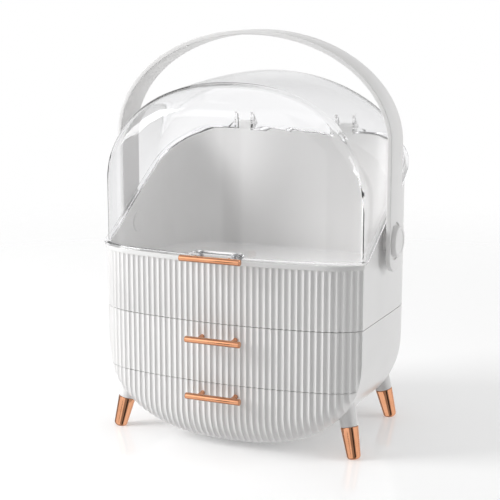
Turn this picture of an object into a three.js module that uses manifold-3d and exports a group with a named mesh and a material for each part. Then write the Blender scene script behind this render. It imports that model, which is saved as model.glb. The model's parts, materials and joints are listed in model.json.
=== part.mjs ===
// Makeup organizer with a clear dust lid, two drawers, a carry handle and four legs.
// Millimetres, +Z up, front towards -Y. The origin is on the floor, below the handle's pivots.

import * as THREE from 'three';
import { mergeVertices } from 'three/addons/utils/BufferGeometryUtils.js';
import Module from 'manifold-3d';

const wasm = await Module();
wasm.setup();

const degree = Math.PI / 180;

// Body seen from above
const bodyWidth = 280; // across the corners where the fluted front ends
const caseDepth = 176; // from the plane of those corners to the rear
const sideFlare = 2; // how much each side widens towards the rear
const flareShare = 0.54; // share of that depth over which it widens
const frontBowEnd = 11 * degree; // turn of the flat bow
const frontCornerEnd = 47 * degree; // turn where the corner bend stops
const frontCornerRadius = 62;
const rearCornerRadius = 62;

// Body seen from the front
const bellyZ = 4;
const bowlTopZ = 104; // below this the sides curve in
const bowlExponent = 2.38;
const lowerSeamZ = 70.5;
const upperSeamZ = 132;
const floorZ = 172; // floor of the top compartment
const rimFrontZ = 198;
const rimRearZ = 305;
const frontFoldShare = 1.3; // height of the front's lower bend, in shares of its depth
const rearFoldRadius = 45;

// Walls and clearances
const caseWall = 3;
const frontWall = 3;
const trayWall = 2;
const plateThickness = 2.5;
const seatGap = 0.3;
const seamGap = 0.5;
const slideGap = 0.5;
const overrun = 8; // how far cutters pass the faces that they cut

// Flutes
const flutePitch = 6.5;
const fluteDepth = 1.5;
const fluteShares = [0, 0.8, 1, 0.8]; // depth at the crest and across the channel

// Rim band below the lid
const rimBandHeight = 5;
const rimBandProud = 1;

// Clear lid
const lidWall = 2.2;
const lidInset = 0.6; // lid wall inside the casing's outline
const archRise = 120; // arch that frames the front face, above the straight walls
const crownRise = 8; // crown above that arch
const crownShare = 0.625; // share of the casing's depth where the crown is highest
const crownRearRise = 12; // crown's rear end above the rim
const wallRise = 49; // straight walls above the front rim
const archExponent = 2.3;
const crownExponent = 2; // the arch gets rounder towards the crown
const faceFoldShare = 1.25;
const faceFoldEnd = 62 * degree;
const flangeReach = 4;
const flangeThickness = 2.5;

// Hinge at the rear of the lid
const hingeOut = 2.4; // axis behind the casing
const hingeRise = 5; // axis above the rear rim
const hingeOffsetX = 58.75;
const knuckleLength = 16;
const knuckleRadius = 3.6;
const earRadius = 3.6;
const earThickness = 2.5;
const hingePinRadius = 1.5;
const hingeBoreRadius = 1.9;
const earReach = 10.4; // ear in front of the axis
const earRise = 13; // ear's root above the axis

// Carry handle and its pivots
const handleWidth = 37;
const handleThickness = 4.5;
const handleGap = 7; // between the casing's side and the handle
const handleRise = 42; // top above the lid's crown
const handleStraight = 96.3; // straight part above the pivots
const handleTail = 30.7; // lower end below the pivots
const pivotRise = 12.7; // pivots above the front rim
const pivotRadius = 7;
const pivotShoulderRadius = 11;
const pivotBoreRadius = 7.4;
const knobRadius = 15.5;
const knobThickness = 6.5;
const knobRound = 1.5;
const knobDish = 0.8;
const knobRimWidth = 2.5;
const recessDepth = 2;
const recessClearance = 0.6;
const recessHeight = 38;

// Pull bars
const pullRadius = 3.25;
const pullLength = 59.5;
const pullEdge = 1; // rounding of a bar's ends
const pullReach = 18; // from the drawer front to the far side of the bar
const pullDrop = 14.5; // bar below the upper drawer's top seam
const lowerPullDrop = 11.2;
const postRadius = 2.2;
const postSpacing = 36;
const lidPullRadius = 3.15;
const lidPullLength = 65.2;
const lidPullReach = 23.17; // from the casing's front to the far side of the lid's bar
const lidPullRise = 2; // bar above the front rim
const padLength = 54;
const padHeight = 7;
const padReach = 14;

// Screws
const screwRadius = 1.3;
const screwBoreRadius = 1.65;
const screwHeadRadius = 3;
const screwHeadHeight = 1.8;
const screwDepth = 4; // how far a pull's screw enters its post
const bossRadius = 4.5;
const deckScrewSide = 50; // in from the casing's side
const deckScrewFront = 35; // behind the front plane
const deckScrewRear = 49; // in from the rear
const deckScrewLength = 20;

// Drawer trays
const upperTrayDrop = 6.5; // tray below the seam over it
const lowerTrayDrop = 4;
const trayRearGap = 4;

// Legs
const frontFootSide = 8; // in from the casing's side
const rearFootSide = 15.5;
const footFront = 5; // behind the front plane
const footRear = 27.5; // in from the rear
const legLeanX = 12.3 * degree;
const legLeanY = 7.3 * degree;
const ferruleTop = 32.8; // along the leg
const ferruleTopRadius = 9;
const ferruleFootRadius = 7.1;
const ferruleWall = 1.6;
const ferruleBoreDepth = 22;
const ferruleRound = 4;
const footTrim = 0.6;
const neckGrowth = 0.4; // neck radius over the ferrule's
const neckLength = 34;

// Facets
const roundSteps = 16;
const smallSteps = 10;
const cornerSteps = 6;
const bowSteps = 5;
const bowlSteps = 10;
const foldSteps = 4;
const archSteps = 20;
const domeSteps = 3;
const crownSteps = 6;
const capSteps = 3;
const tipSteps = 3;
const weldDistance = 1e-4;

// Values that follow from the sizes above
const halfWidth = bodyWidth / 2;
const bowRadius = (halfWidth - frontCornerRadius * (Math.sin(frontCornerEnd) - Math.sin(frontBowEnd)))
  / Math.sin(frontBowEnd);
const bowDepth = bowRadius - (bowRadius - frontCornerRadius) * Math.cos(frontBowEnd)
  - frontCornerRadius * Math.cos(frontCornerEnd);
const overallReach = (lidPullReach + bowDepth + caseDepth + hingeOut + earRadius) / 2;
const rearY = overallReach - hingeOut - earRadius;
const frontPlaneY = rearY - caseDepth; // where the drawer fronts meet the casing
const flareEndY = frontPlaneY + flareShare * caseDepth;
const cornerCentre = {
  x: (bowRadius - frontCornerRadius) * Math.sin(frontBowEnd),
  y: frontPlaneY + frontCornerRadius * Math.cos(frontCornerEnd),
};
const bowCentreY = cornerCentre.y + (bowRadius - frontCornerRadius) * Math.cos(frontBowEnd);
const bowLength = bowRadius * frontBowEnd;
const frontLength = bowLength + frontCornerRadius * (frontCornerEnd - frontBowEnd);
const fluteCount = Math.round(2 * frontLength / flutePitch);
const rimSlope = (rimRearZ - rimFrontZ) / caseDepth;
const archStartZ = rimFrontZ + wallRise;
const archTopZ = archStartZ + archRise;
const crownZ = archTopZ + crownRise;
const crownY = frontPlaneY + crownShare * caseDepth;
const crownRearZ = rimRearZ + crownRearRise;
const hingeY = rearY + hingeOut;
const hingeZ = rimRearZ + hingeRise;
const earRootY = hingeY - earReach;
const earTopZ = hingeZ + earRise;
const handleReach = halfWidth + handleGap + handleThickness;
const handleTopZ = crownZ + handleRise;
const pivotZ = rimFrontZ + pivotRise;
const handleStraightZ = pivotZ + handleStraight;
const handleBottomZ = pivotZ - handleTail;
const lidPullZ = rimFrontZ + lidPullRise;
const padTopZ = rimFrontZ + padHeight;

const point = (x, y, z) => new THREE.Vector3(x, y, z);
const clamp = THREE.MathUtils.clamp;
const span = (count, from, to) => Array.from({ length: count + 1 }, (_, i) => from + (to - from) * i / count);

// Solids

function toSolid(geometry) {
  const bare = geometry.clone();
  bare.deleteAttribute('normal');
  bare.deleteAttribute('uv');
  const merged = mergeVertices(bare, weldDistance);
  const corners = merged.index.array;
  const kept = [];
  for (let i = 0; i < corners.length; i += 3) {
    const [a, b, c] = corners.slice(i, i + 3);
    if (a !== b && b !== c && c !== a) kept.push(a, b, c);
  }
  return new wasm.Manifold(new wasm.Mesh({
    numProp: 3,
    vertProperties: merged.attributes.position.array,
    triVerts: new Uint32Array(kept),
  }));
}

function toGeometry(solid) {
  const mesh = solid.getMesh();
  const geometry = new THREE.BufferGeometry();
  geometry.setAttribute('position', new THREE.BufferAttribute(mesh.vertProperties, 3));
  geometry.setIndex(new THREE.BufferAttribute(mesh.triVerts, 1));
  geometry.computeVertexNormals();
  return geometry;
}

const join = (...solids) => solids.reduce((a, b) => a.add(b));
const cut = (solid, ...tools) => tools.reduce((a, b) => a.subtract(b), solid);
const meet = (...solids) => solids.reduce((a, b) => a.intersect(b));

// Faces of a planar ring, wound as the ring is.
function capFaces(ring) {
  const normal = point(0, 0, 0);
  ring.forEach((p, i) => {
    const q = ring[(i + 1) % ring.length];
    normal.add(point((p.y - q.y) * (p.z + q.z), (p.z - q.z) * (p.x + q.x), (p.x - q.x) * (p.y + q.y)));
  });
  const [ax, ay, az] = normal.toArray().map(Math.abs);
  const flat = ring.map((p) => {
    if (ax > ay && ax > az) return new THREE.Vector2(p.y, p.z);
    if (ay > az) return new THREE.Vector2(p.x, p.z);
    return new THREE.Vector2(p.x, p.y);
  });
  const turn = Math.sign(THREE.ShapeUtils.area(flat));
  return THREE.ShapeUtils.triangulateShape(flat, []).map(([a, b, c]) => {
    const area = THREE.ShapeUtils.area([flat[a], flat[b], flat[c]]);
    return Math.sign(area) === turn ? [a, b, c] : [a, c, b];
  });
}

// Closed solid through rings of equal length, with a flat cap at each end.
function loft(rings) {
  const size = rings[0].length;
  const index = [];
  for (let i = 0; i + 1 < rings.length; i += 1) {
    for (let j = 0; j < size; j += 1) {
      const a = i * size + j;
      const b = i * size + (j + 1) % size;
      index.push(a, b, b + size, a, b + size, a + size);
    }
  }
  const last = (rings.length - 1) * size;
  capFaces(rings[0]).forEach(([a, b, c]) => index.push(a, c, b));
  capFaces(rings[rings.length - 1]).forEach(([a, b, c]) => index.push(a + last, b + last, c + last));
  const geometry = new THREE.BufferGeometry().setFromPoints(rings.flat());
  geometry.setIndex(index);
  const position = geometry.attributes.position;
  const corner = (i) => point(0, 0, 0).fromBufferAttribute(position, index[i]);
  let volume = 0;
  for (let i = 0; i < index.length; i += 3) volume += corner(i).dot(corner(i + 1).cross(corner(i + 2)));
  if (volume < 0) geometry.setIndex(index.reverse());
  return toSolid(geometry);
}

const prism = (outline, from, to, place) => loft(
  [from, to].map((end) => outline.map(([u, v]) => place(u, v, end))));
const planPrism = (outline, from, to) => prism(outline, from, to, (x, y, z) => point(x, y, z));
const frontPrism = (outline, from, to) => prism(outline, from, to, (x, z, y) => point(x, y, z));
const sidePrism = (outline, from, to) => prism(outline, from, to, (y, z, x) => point(x, y, z));

const block = (x0, x1, y0, y1, z0, z1) => planPrism([[x0, y0], [x1, y0], [x1, y1], [x0, y1]], z0, z1);

const circle = (radius, u, v, steps = roundSteps) => span(steps, 0, 2 * Math.PI).slice(1)
  .map((turn) => [u + radius * Math.cos(turn), v + radius * Math.sin(turn)]);

// Body of revolution about +Z from [radius, z] pairs that start and end on the axis.
const revolve = (profile, steps) => new THREE.LatheGeometry(
  profile.map(([r, z]) => new THREE.Vector2(r, z)), steps).rotateX(Math.PI / 2);

// Outlines of the body

// Half width at which the front, set in from the casing's outline, meets the sides.
const frontEndX = (inset) => halfWidth - inset;

// Y of the smooth front at x.
function frontY(x, inset) {
  const across = Math.abs(x);
  if (across < (bowRadius - inset) * Math.sin(frontBowEnd)) {
    return bowCentreY - Math.sqrt((bowRadius - inset) ** 2 - x ** 2);
  }
  const beyond = across - cornerCentre.x;
  return cornerCentre.y - Math.sqrt(Math.max(0, (frontCornerRadius - inset) ** 2 - beyond ** 2));
}

// The bow as a function of the length along it, with the direction that it faces.
function frontAt(along) {
  const side = Math.sign(along);
  const run = Math.abs(along);
  if (run < bowLength) {
    const turn = run / bowRadius;
    return { x: side * bowRadius * Math.sin(turn), turn: side * turn };
  }
  const turn = frontBowEnd + (run - bowLength) / frontCornerRadius;
  return { x: side * (cornerCentre.x + frontCornerRadius * Math.sin(turn)), turn: side * turn };
}

// Columns across the fluted front: x, facing direction and depth of the channel there.
function fluteColumns() {
  const steps = fluteCount * fluteShares.length;
  return span(steps, -frontLength, frontLength).map((along, i) => {
    const { x, turn } = frontAt(along);
    return { x, turn, depth: fluteDepth * fluteShares[i % fluteShares.length] };
  });
}

const flutedFront = () => fluteColumns().map(({ x, turn, depth }) => [
  x - depth * Math.sin(turn), frontY(x, 0) + depth * Math.cos(turn),
]);

function smoothFront(inset) {
  const end = frontEndX(inset);
  const bend = (bowRadius - inset) * Math.sin(frontBowEnd);
  const half = [...span(bowSteps, 0, bend).slice(1), ...span(cornerSteps, bend, end).slice(1)];
  const across = [...half.map((x) => -x).reverse(), 0, ...half];
  return across.map((x) => [x, frontY(x, inset)]);
}

// Sides and rear, from the right front corner round to the left one.
function sideAndRear(inset) {
  const width = halfWidth + sideFlare;
  const right = [[halfWidth - inset, frontPlaneY], [width - inset, flareEndY]];
  span(cornerSteps, 0, Math.PI / 2).forEach((turn) => right.push([
    width - rearCornerRadius + (rearCornerRadius - inset) * Math.cos(turn),
    rearY - rearCornerRadius + (rearCornerRadius - inset) * Math.sin(turn),
  ]));
  return [...right, ...right.map(([x, y]) => [-x, y]).reverse()];
}

const smoothOutline = (inset) => [...smoothFront(inset), ...sideAndRear(inset).slice(1, -1)];
const flutedOutline = () => [...flutedFront(), ...sideAndRear(0).slice(1, -1)];

// Bowl: half width at an angle down the bend, and height of the underside at x.
const bowlPoint = (turn, inset) => [
  (halfWidth - inset) * Math.cos(turn) ** (2 / bowlExponent),
  bowlTopZ - (bowlTopZ - bellyZ - inset) * Math.sin(turn) ** (2 / bowlExponent),
];
const bowlZ = (x, inset) => bowlTopZ - (bowlTopZ - bellyZ - inset)
  * (1 - clamp(Math.abs(x) / (halfWidth - inset), 0, 1) ** bowlExponent) ** (1 / bowlExponent);
const bowlWidth = (z, inset) => (halfWidth - inset)
  * (1 - clamp((bowlTopZ - z) / (bowlTopZ - bellyZ - inset), 0, 1) ** bowlExponent) ** (1 / bowlExponent);

const bowlEnd = 84 * degree;
const bowlTurns = span(bowlSteps, 0, bowlEnd);

// Outline of the bowl from the front, closed at a height above it.
function bowlOutline(inset, topZ) {
  const right = [[halfWidth - inset, topZ], ...bowlTurns.map((turn) => bowlPoint(turn, inset))];
  return [...right, ...right.map(([x, z]) => [-x, z]).reverse()];
}

// Casing below the upper seam, behind the front plane, filled.
function lowerBody(inset, topZ, frontEndY) {
  const levels = [[halfWidth - inset, topZ], ...bowlTurns.map((turn) => bowlPoint(turn, inset))];
  const rings = levels.map(([width, z]) => {
    const sink = clamp((bellyZ + rearFoldRadius - z) / (rearFoldRadius - inset), 0, 1);
    const fold = (rearFoldRadius - inset) * (1 - Math.sqrt(1 - sink ** 2));
    const shorten = 1 - fold / (rearY - frontPlaneY);
    const ring = sideAndRear(inset).map(([x, y]) => point(
      x * width / (halfWidth - inset), frontPlaneY + (y - frontPlaneY) * shorten, z));
    ring[0].y = frontEndY;
    ring[ring.length - 1].y = frontEndY;
    return ring;
  });
  return loft(rings);
}

// Solid behind a front that stands upright and bends back to the front plane at its edge.
// Each column runs from startZ to the fold at edgeZ(x) and on to backY; channels fade along the fold.
function pillow({ columns, startZ, edgeZ, inset, foldShare, foldEnd, backY }) {
  const rings = columns.map(({ x, turn, depth }) => {
    const edge = edgeZ(x);
    const way = Math.sign(edge - startZ);
    const bulge = Math.max(frontPlaneY - frontY(x, inset), 0);
    const rise = foldShare * bulge / Math.sin(foldEnd);
    const push = bulge / (1 - Math.cos(foldEnd));
    const foldStart = edge - way * foldShare * bulge;
    const room = clamp((startZ - foldStart) * way / rise, 0, 1);
    const first = rise > 0 ? Math.asin(room) : 0;
    const column = span(foldSteps, first, foldEnd).map((bend) => {
      const tilt = Math.atan2(push * Math.sin(bend), rise * Math.cos(bend));
      const sunk = depth * Math.sqrt(Math.max(0, Math.cos(bend)));
      return point(
        x - sunk * Math.sin(turn) * Math.cos(tilt),
        frontY(x, inset) + push * (1 - Math.cos(bend)) + sunk * Math.cos(turn) * Math.cos(tilt),
        foldStart + way * (rise * Math.sin(bend) - sunk * Math.sin(tilt)));
    });
    const top = startZ - way * overrun;
    const end = column[column.length - 1];
    const back = [point(end.x, backY, end.z), point(column[0].x, backY, top)];
    return [point(column[0].x, column[0].y, top), ...column, ...back];
  });
  return loft(rings);
}

// Profile of the rim seen from the side, raised by an amount, as a slab above or below it.
const rimZ = (y) => rimFrontZ + Math.max(0, y - frontPlaneY) * rimSlope;
function rimSide(raise, farZ) {
  const near = -overallReach - overrun;
  const far = overallReach + overrun;
  return sidePrism([
    [near, rimFrontZ + raise], [frontPlaneY, rimFrontZ + raise], [far, rimZ(far) + raise],
    [far, farZ], [near, farZ],
  ], -handleReach, handleReach);
}
const aboveRim = (raise) => rimSide(raise, handleTopZ);
const belowRim = (raise) => rimSide(raise, 0);

// Pieces

const organizer = new THREE.Group();

const white = new THREE.MeshStandardMaterial({ color: 0xf3f3f2, roughness: 0.35, metalness: 0 });
const clear = new THREE.MeshStandardMaterial({
  color: 0xf4f8fa, roughness: 0.05, metalness: 0, transparent: true, opacity: 0.25,
});
const copper = new THREE.MeshStandardMaterial({ color: 0xd99066, roughness: 0.18, metalness: 1 });
const steel = new THREE.MeshStandardMaterial({ color: 0xb9bcc0, roughness: 0.35, metalness: 1 });

function add(name, shape, material, parent = organizer) {
  const geometry = shape instanceof THREE.BufferGeometry ? shape : toGeometry(shape);
  const mesh = new THREE.Mesh(geometry, material);
  mesh.name = name;
  parent.add(mesh);
  return mesh;
}

const sides = [['left', -1], ['right', 1]];

// Screw along +Y with its head at the origin's rear side.
function screwShape(shankLength) {
  return revolve([
    [0, 0], [screwRadius, 0], [screwRadius, shankLength], [screwHeadRadius, shankLength],
    [screwHeadRadius, shankLength + screwHeadHeight], [0, shankLength + screwHeadHeight],
  ], smallSteps);
}

// Upper casing: fluted band, sloping walls, compartment floor and hinge knuckles.
const hingeSpan = knuckleLength / 2 + seamGap;

function hingeKnuckle(side) {
  const from = side * hingeOffsetX - knuckleLength / 2;
  const to = side * hingeOffsetX + knuckleLength / 2;
  const barrel = sidePrism(circle(knuckleRadius, hingeY, hingeZ), from, to);
  const web = sidePrism([
    [rearY - caseWall, rimRearZ - overrun], [rearY, rimRearZ - overrun],
    [hingeY + knuckleRadius, hingeZ], [rearY - caseWall, hingeZ],
  ], from, to);
  const bore = circle(hingeBoreRadius, hingeY, hingeZ, smallSteps);
  return cut(join(barrel, web), sidePrism(bore, from - overrun, to + overrun));
}

const deckScrewPlaces = sides.flatMap(([side, sign]) => [
  [`front_${side}`, sign * (halfWidth - deckScrewSide), frontPlaneY + deckScrewFront],
  [`rear_${side}`, sign * (halfWidth - deckScrewSide), rearY - deckScrewRear],
]);
const deckTopZ = upperSeamZ - seamGap / 2;
const casingBottomZ = upperSeamZ + seamGap / 2;
const casingTop = aboveRim(0);

function upperCasing() {
  const outer = planPrism(flutedOutline(), casingBottomZ, rimRearZ + overrun);
  const band = meet(
    planPrism(smoothOutline(-rimBandProud), casingBottomZ, rimRearZ + overrun), aboveRim(-rimBandHeight));
  const room = planPrism(smoothOutline(caseWall), floorZ, rimRearZ + 2 * overrun);
  const under = planPrism(smoothOutline(caseWall), casingBottomZ - overrun, floorZ - plateThickness);
  const bosses = deckScrewPlaces.map(([, x, y]) => planPrism(
    circle(bossRadius, x, y, smallSteps), deckTopZ + seatGap, floorZ - plateThickness / 2));
  const boreTopZ = deckTopZ + deckScrewLength + seamGap;
  const bores = deckScrewPlaces.map(([, x, y]) => planPrism(
    circle(screwBoreRadius, x, y, smallSteps), casingBottomZ - overrun, boreTopZ));
  const walls = cut(join(outer, band), room, under, casingTop);
  return join(cut(join(walls, ...bosses), ...bores), ...sides.map(([, sign]) => hingeKnuckle(sign)));
}
add('upper_casing', upperCasing(), white);

// Lower casing: the bowl that holds the drawers, open at the front.
const lowerOuter = lowerBody(0, upperSeamZ - seamGap / 2, frontPlaneY);
const lowerRoom = lowerBody(caseWall, upperSeamZ + overrun, frontPlaneY - overrun);
add('lower_casing', cut(lowerOuter, lowerRoom), white);

// Shelf between the drawers and the deck that the upper casing is screwed to.
const insideCase = lowerBody(caseWall + seatGap, upperSeamZ + overrun, frontPlaneY);
const plate = (from, to) => meet(
  insideCase, block(-bodyWidth, bodyWidth, frontPlaneY + seatGap, rearY, from, to));
const shelfTopZ = lowerSeamZ + plateThickness / 2;
add('drawer_shelf', plate(shelfTopZ - plateThickness, shelfTopZ), white);

const deckHoles = deckScrewPlaces.map(([, x, y]) => planPrism(
  circle(screwBoreRadius, x, y, smallSteps), upperSeamZ - overrun, upperSeamZ + overrun));
add('case_deck', cut(plate(deckTopZ - plateThickness, deckTopZ), ...deckHoles), white);

deckScrewPlaces.forEach(([place, x, y]) => {
  const screw = add(`deck_screw_${place}`, screwShape(deckScrewLength), steel);
  screw.rotation.x = Math.PI;
  screw.position.set(x, y, deckTopZ - plateThickness - seatGap + deckScrewLength);
});

// Lid: pillowed front face, crowned dome, flange, pad for the bar and hinge ears.
const archZ = (x, inset) => archStartZ + (archTopZ - inset - archStartZ)
  * (1 - clamp(Math.abs(x) / (halfWidth - inset), 0, 1) ** archExponent) ** (1 / archExponent);

function lidFace(inset) {
  const end = frontEndX(inset);
  const columns = span(archSteps, -Math.PI / 2, Math.PI / 2).map((turn) => ({
    x: end * Math.sin(turn), turn: 0, depth: 0,
  }));
  return pillow({
    columns, startZ: rimFrontZ, edgeZ: (x) => archZ(x, inset), inset,
    foldShare: faceFoldShare, foldEnd: faceFoldEnd, backY: frontPlaneY + overrun,
  });
}

function planHalfWidth(y, inset) {
  const width = halfWidth + sideFlare * clamp((y - frontPlaneY) / (flareEndY - frontPlaneY), 0, 1);
  const past = clamp(y - (rearY - rearCornerRadius), 0, rearCornerRadius - inset);
  return width - rearCornerRadius + Math.sqrt((rearCornerRadius - inset) ** 2 - past ** 2);
}

function lidDome(inset) {
  const rear = rearY - inset;
  const stations = [
    ...span(domeSteps, frontPlaneY, crownY).slice(0, -1),
    ...span(crownSteps, 0, Math.PI / 2).map((turn) => crownY + (rear - crownY) * Math.sin(turn)),
  ];
  const rings = stations.map((y) => {
    const share = (y - frontPlaneY) / (rearY - frontPlaneY);
    const start = archStartZ + (rimRearZ - archStartZ) * share ** 2;
    const behind = (y - crownY) / (rear - crownY);
    const crown = y < crownY
      ? crownZ - crownRise * ((crownY - y) / (crownY - frontPlaneY)) ** 2
      : crownRearZ + (crownZ - crownRearZ) * Math.sqrt(Math.max(0, 1 - behind ** 2));
    const width = planHalfWidth(y, inset);
    const exponent = archExponent
      - (archExponent - crownExponent) * clamp((y - frontPlaneY) / (crownY - frontPlaneY), 0, 1);
    const arch = span(archSteps, 0, Math.PI).map((turn) => point(
      width * Math.sign(Math.cos(turn)) * Math.abs(Math.cos(turn)) ** (2 / exponent),
      y, start + (crown - inset - start) * Math.sin(turn) ** (2 / exponent)));
    return [point(width, y, rimFrontZ - overrun), ...arch, point(-width, y, rimFrontZ - overrun)];
  });
  return loft(rings);
}

function hingeEar(x) {
  const from = x - earThickness / 2;
  const to = x + earThickness / 2;
  const fin = sidePrism([
    [earRootY, rimZ(earRootY) + flangeThickness + seatGap], [hingeY, hingeZ - earRadius],
    [hingeY + earRadius, hingeZ], [hingeY, hingeZ + earRadius], [earRootY, earTopZ],
  ], from, to);
  return join(fin, sidePrism(circle(earRadius, hingeY, hingeZ), from, to));
}

const earPlaces = sides.flatMap(([, sign]) => [-1, 1].map(
  (way) => sign * hingeOffsetX + way * (hingeSpan + earThickness / 2)));

// Y of the lid's front at the bar.
const lidFrontY = frontY(0, lidInset);
const padFrontY = lidFrontY - padReach;
const padBottomZ = rimFrontZ + seatGap;

function pullPad() {
  const radius = (padTopZ - padBottomZ) / 2;
  const middle = (padTopZ + padBottomZ) / 2;
  const reach = padLength / 2 - radius;
  const right = span(smallSteps, -Math.PI / 2, Math.PI / 2).map((turn) => [
    reach + radius * Math.cos(turn), middle + radius * Math.sin(turn)]);
  const outline = [...right, ...right.map(([x, z]) => [-x, z]).reverse()];
  return frontPrism(outline, padFrontY, lidFrontY + lidWall / 2);
}

const postPlaces = sides.map(([side, sign]) => [side, sign * postSpacing / 2]);

function lidShape() {
  const outer = join(lidFace(lidInset), lidDome(lidInset));
  const inner = join(lidFace(lidInset + lidWall), lidDome(lidInset + lidWall));
  const ring = cut(
    planPrism(smoothOutline(-flangeReach), rimFrontZ - overrun, hingeZ + overrun),
    planPrism(smoothOutline(lidInset + lidWall), rimFrontZ - 2 * overrun, hingeZ + 2 * overrun));
  const rest = rimSide(seatGap, 0);
  const flange = cut(meet(ring, belowRim(seatGap + flangeThickness)), rest);
  const shell = cut(outer, inner, rest);
  const behind = block(-bodyWidth, bodyWidth, rearY, rearY + overrun + flangeReach, 0, crownZ);
  const notches = sides.map(([, sign]) => block(
    sign * hingeOffsetX - hingeSpan, sign * hingeOffsetX + hingeSpan,
    rearY - overrun, rearY + overrun, rimFrontZ, hingeZ + knuckleRadius + seamGap));
  const ears = earPlaces.map(hingeEar);
  const bores = earPlaces.map((x) => sidePrism(
    circle(hingeBoreRadius, hingeY, hingeZ, smallSteps), x - earThickness, x + earThickness));
  const screwHoles = postPlaces.map(([, x]) => frontPrism(
    circle(screwBoreRadius, x, lidPullZ + seatGap, smallSteps), padFrontY - overrun, lidFrontY + overrun));
  const body = cut(join(shell, flange), behind, ...notches);
  return cut(join(body, pullPad(), ...ears), ...bores, ...screwHoles);
}
add('lid', lidShape(), clear);

sides.forEach(([side, sign]) => {
  const length = knuckleLength + 2 * seamGap + 2 * earThickness;
  const pin = add(`hinge_pin_${side}`, new THREE.CylinderGeometry(
    hingePinRadius, hingePinRadius, length, smallSteps), white);
  pin.rotation.z = Math.PI / 2;
  pin.position.set(sign * hingeOffsetX, hingeY, hingeZ);
});

// Pull bars: a round bar with softened ends on two posts, held by screws from behind.
function pullShape(radius, length, barY, seatY) {
  const end = span(capSteps, 0, Math.PI / 2).map((turn) => [
    radius - pullEdge + pullEdge * Math.sin(turn), length / 2 - pullEdge + pullEdge * Math.cos(turn)]);
  const bar = toSolid(revolve([
    [0, -length / 2], ...end.map(([r, z]) => [r, -z]), ...end.reverse(), [0, length / 2],
  ], roundSteps).rotateY(Math.PI / 2));
  const postEnd = (x) => seatY(x) - barY;
  const posts = postPlaces.map(([, x]) => frontPrism(circle(postRadius, x, 0, smallSteps), 0, postEnd(x)));
  const bores = postPlaces.map(([, x]) => frontPrism(
    circle(screwBoreRadius, x, 0, smallSteps), postEnd(x) - screwDepth - seamGap, postEnd(x) + overrun));
  return cut(join(bar, ...posts), ...bores);
}

function addPull(name, radius, length, barY, barZ, seatY, backY) {
  const pull = add(name, pullShape(radius, length, barY, seatY), copper);
  pull.position.set(0, barY, barZ);
  postPlaces.forEach(([side, x]) => {
    const tip = seatY(x) - screwDepth;
    const screw = add(`${name}_screw_${side}`, screwShape(backY(x) + seatGap - tip), steel);
    screw.rotation.x = -Math.PI / 2;
    screw.position.set(x, tip, barZ);
  });
}

addPull('lid_pull', lidPullRadius, lidPullLength, -overallReach + lidPullRadius, lidPullZ + seatGap,
  () => padFrontY - seatGap, (x) => frontY(x, lidInset + lidWall));

// Drawers: a fluted front cover on a tray.
const lowerFrontTopZ = lowerSeamZ - seamGap / 2;
const upperFrontTopZ = upperSeamZ - seamGap / 2;
const coverBackY = frontPlaneY - seatGap;
const inFront = block(-bodyWidth, bodyWidth, -overallReach, coverBackY, 0, rimFrontZ);

function withPullHoles(cover, z) {
  return cut(cover, ...postPlaces.map(([, x]) => frontPrism(
    circle(screwBoreRadius, x, z, smallSteps), -overallReach, coverBackY)));
}

function upperFront(pullZ) {
  const bottom = lowerSeamZ + seamGap / 2;
  const outline = [...flutedFront(), [halfWidth, frontPlaneY + overrun], [-halfWidth, frontPlaneY + overrun]];
  const hollow = [...smoothFront(frontWall), [halfWidth - frontWall, frontPlaneY + overrun],
    [frontWall - halfWidth, frontPlaneY + overrun]];
  const outer = meet(
    planPrism(outline, bottom, upperFrontTopZ),
    frontPrism(bowlOutline(0, upperSeamZ + overrun), -overallReach, frontPlaneY + overrun), inFront);
  const inner = meet(
    planPrism(hollow, bottom + frontWall, upperFrontTopZ - frontWall),
    frontPrism(bowlOutline(frontWall, upperSeamZ + overrun), -overallReach, frontPlaneY + overrun));
  return withPullHoles(cut(outer, inner), pullZ);
}

function lowerFront(pullZ) {
  const side = bowlWidth(lowerFrontTopZ, 0) - seatGap;
  const fluted = fluteColumns().filter(({ x }) => Math.abs(x) < side);
  const ends = [-side, side].map((x) => ({ x, turn: 0, depth: 0 }));
  const outer = pillow({
    columns: [ends[0], ...fluted, ends[1]], startZ: lowerFrontTopZ, edgeZ: (x) => bowlZ(x, 0), inset: 0,
    foldShare: frontFoldShare, foldEnd: Math.PI / 2, backY: frontPlaneY + overrun,
  });
  const innerTopZ = lowerFrontTopZ - frontWall;
  const innerSide = bowlWidth(innerTopZ, frontWall) - seatGap;
  const inner = pillow({
    columns: span(archSteps, -innerSide, innerSide).map((x) => ({ x, turn: 0, depth: 0 })),
    startZ: innerTopZ, edgeZ: (x) => bowlZ(x, frontWall), inset: frontWall,
    foldShare: frontFoldShare, foldEnd: Math.PI / 2, backY: frontPlaneY + overrun,
  });
  const low = block(-bodyWidth, bodyWidth, -overallReach, frontPlaneY + 2 * overrun, 0, lowerFrontTopZ);
  const innerLow = block(-bodyWidth, bodyWidth, -overallReach, frontPlaneY + 2 * overrun, 0, innerTopZ);
  return withPullHoles(cut(meet(outer, low, inFront), meet(inner, innerLow)), pullZ);
}

function tray(bottomZ, topZ) {
  const inset = caseWall + slideGap;
  const shape = (extra, from, to) => meet(
    lowerBody(inset + extra, upperSeamZ + overrun, frontPlaneY - overrun),
    frontPrism(bowlOutline(inset + extra, upperSeamZ + overrun), -overallReach, rearY),
    block(-bodyWidth, bodyWidth, frontPlaneY + extra, rearY - caseWall - trayRearGap - extra, from, to));
  return cut(shape(0, bottomZ, topZ), shape(trayWall, bottomZ + trayWall, topZ + overrun));
}

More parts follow.
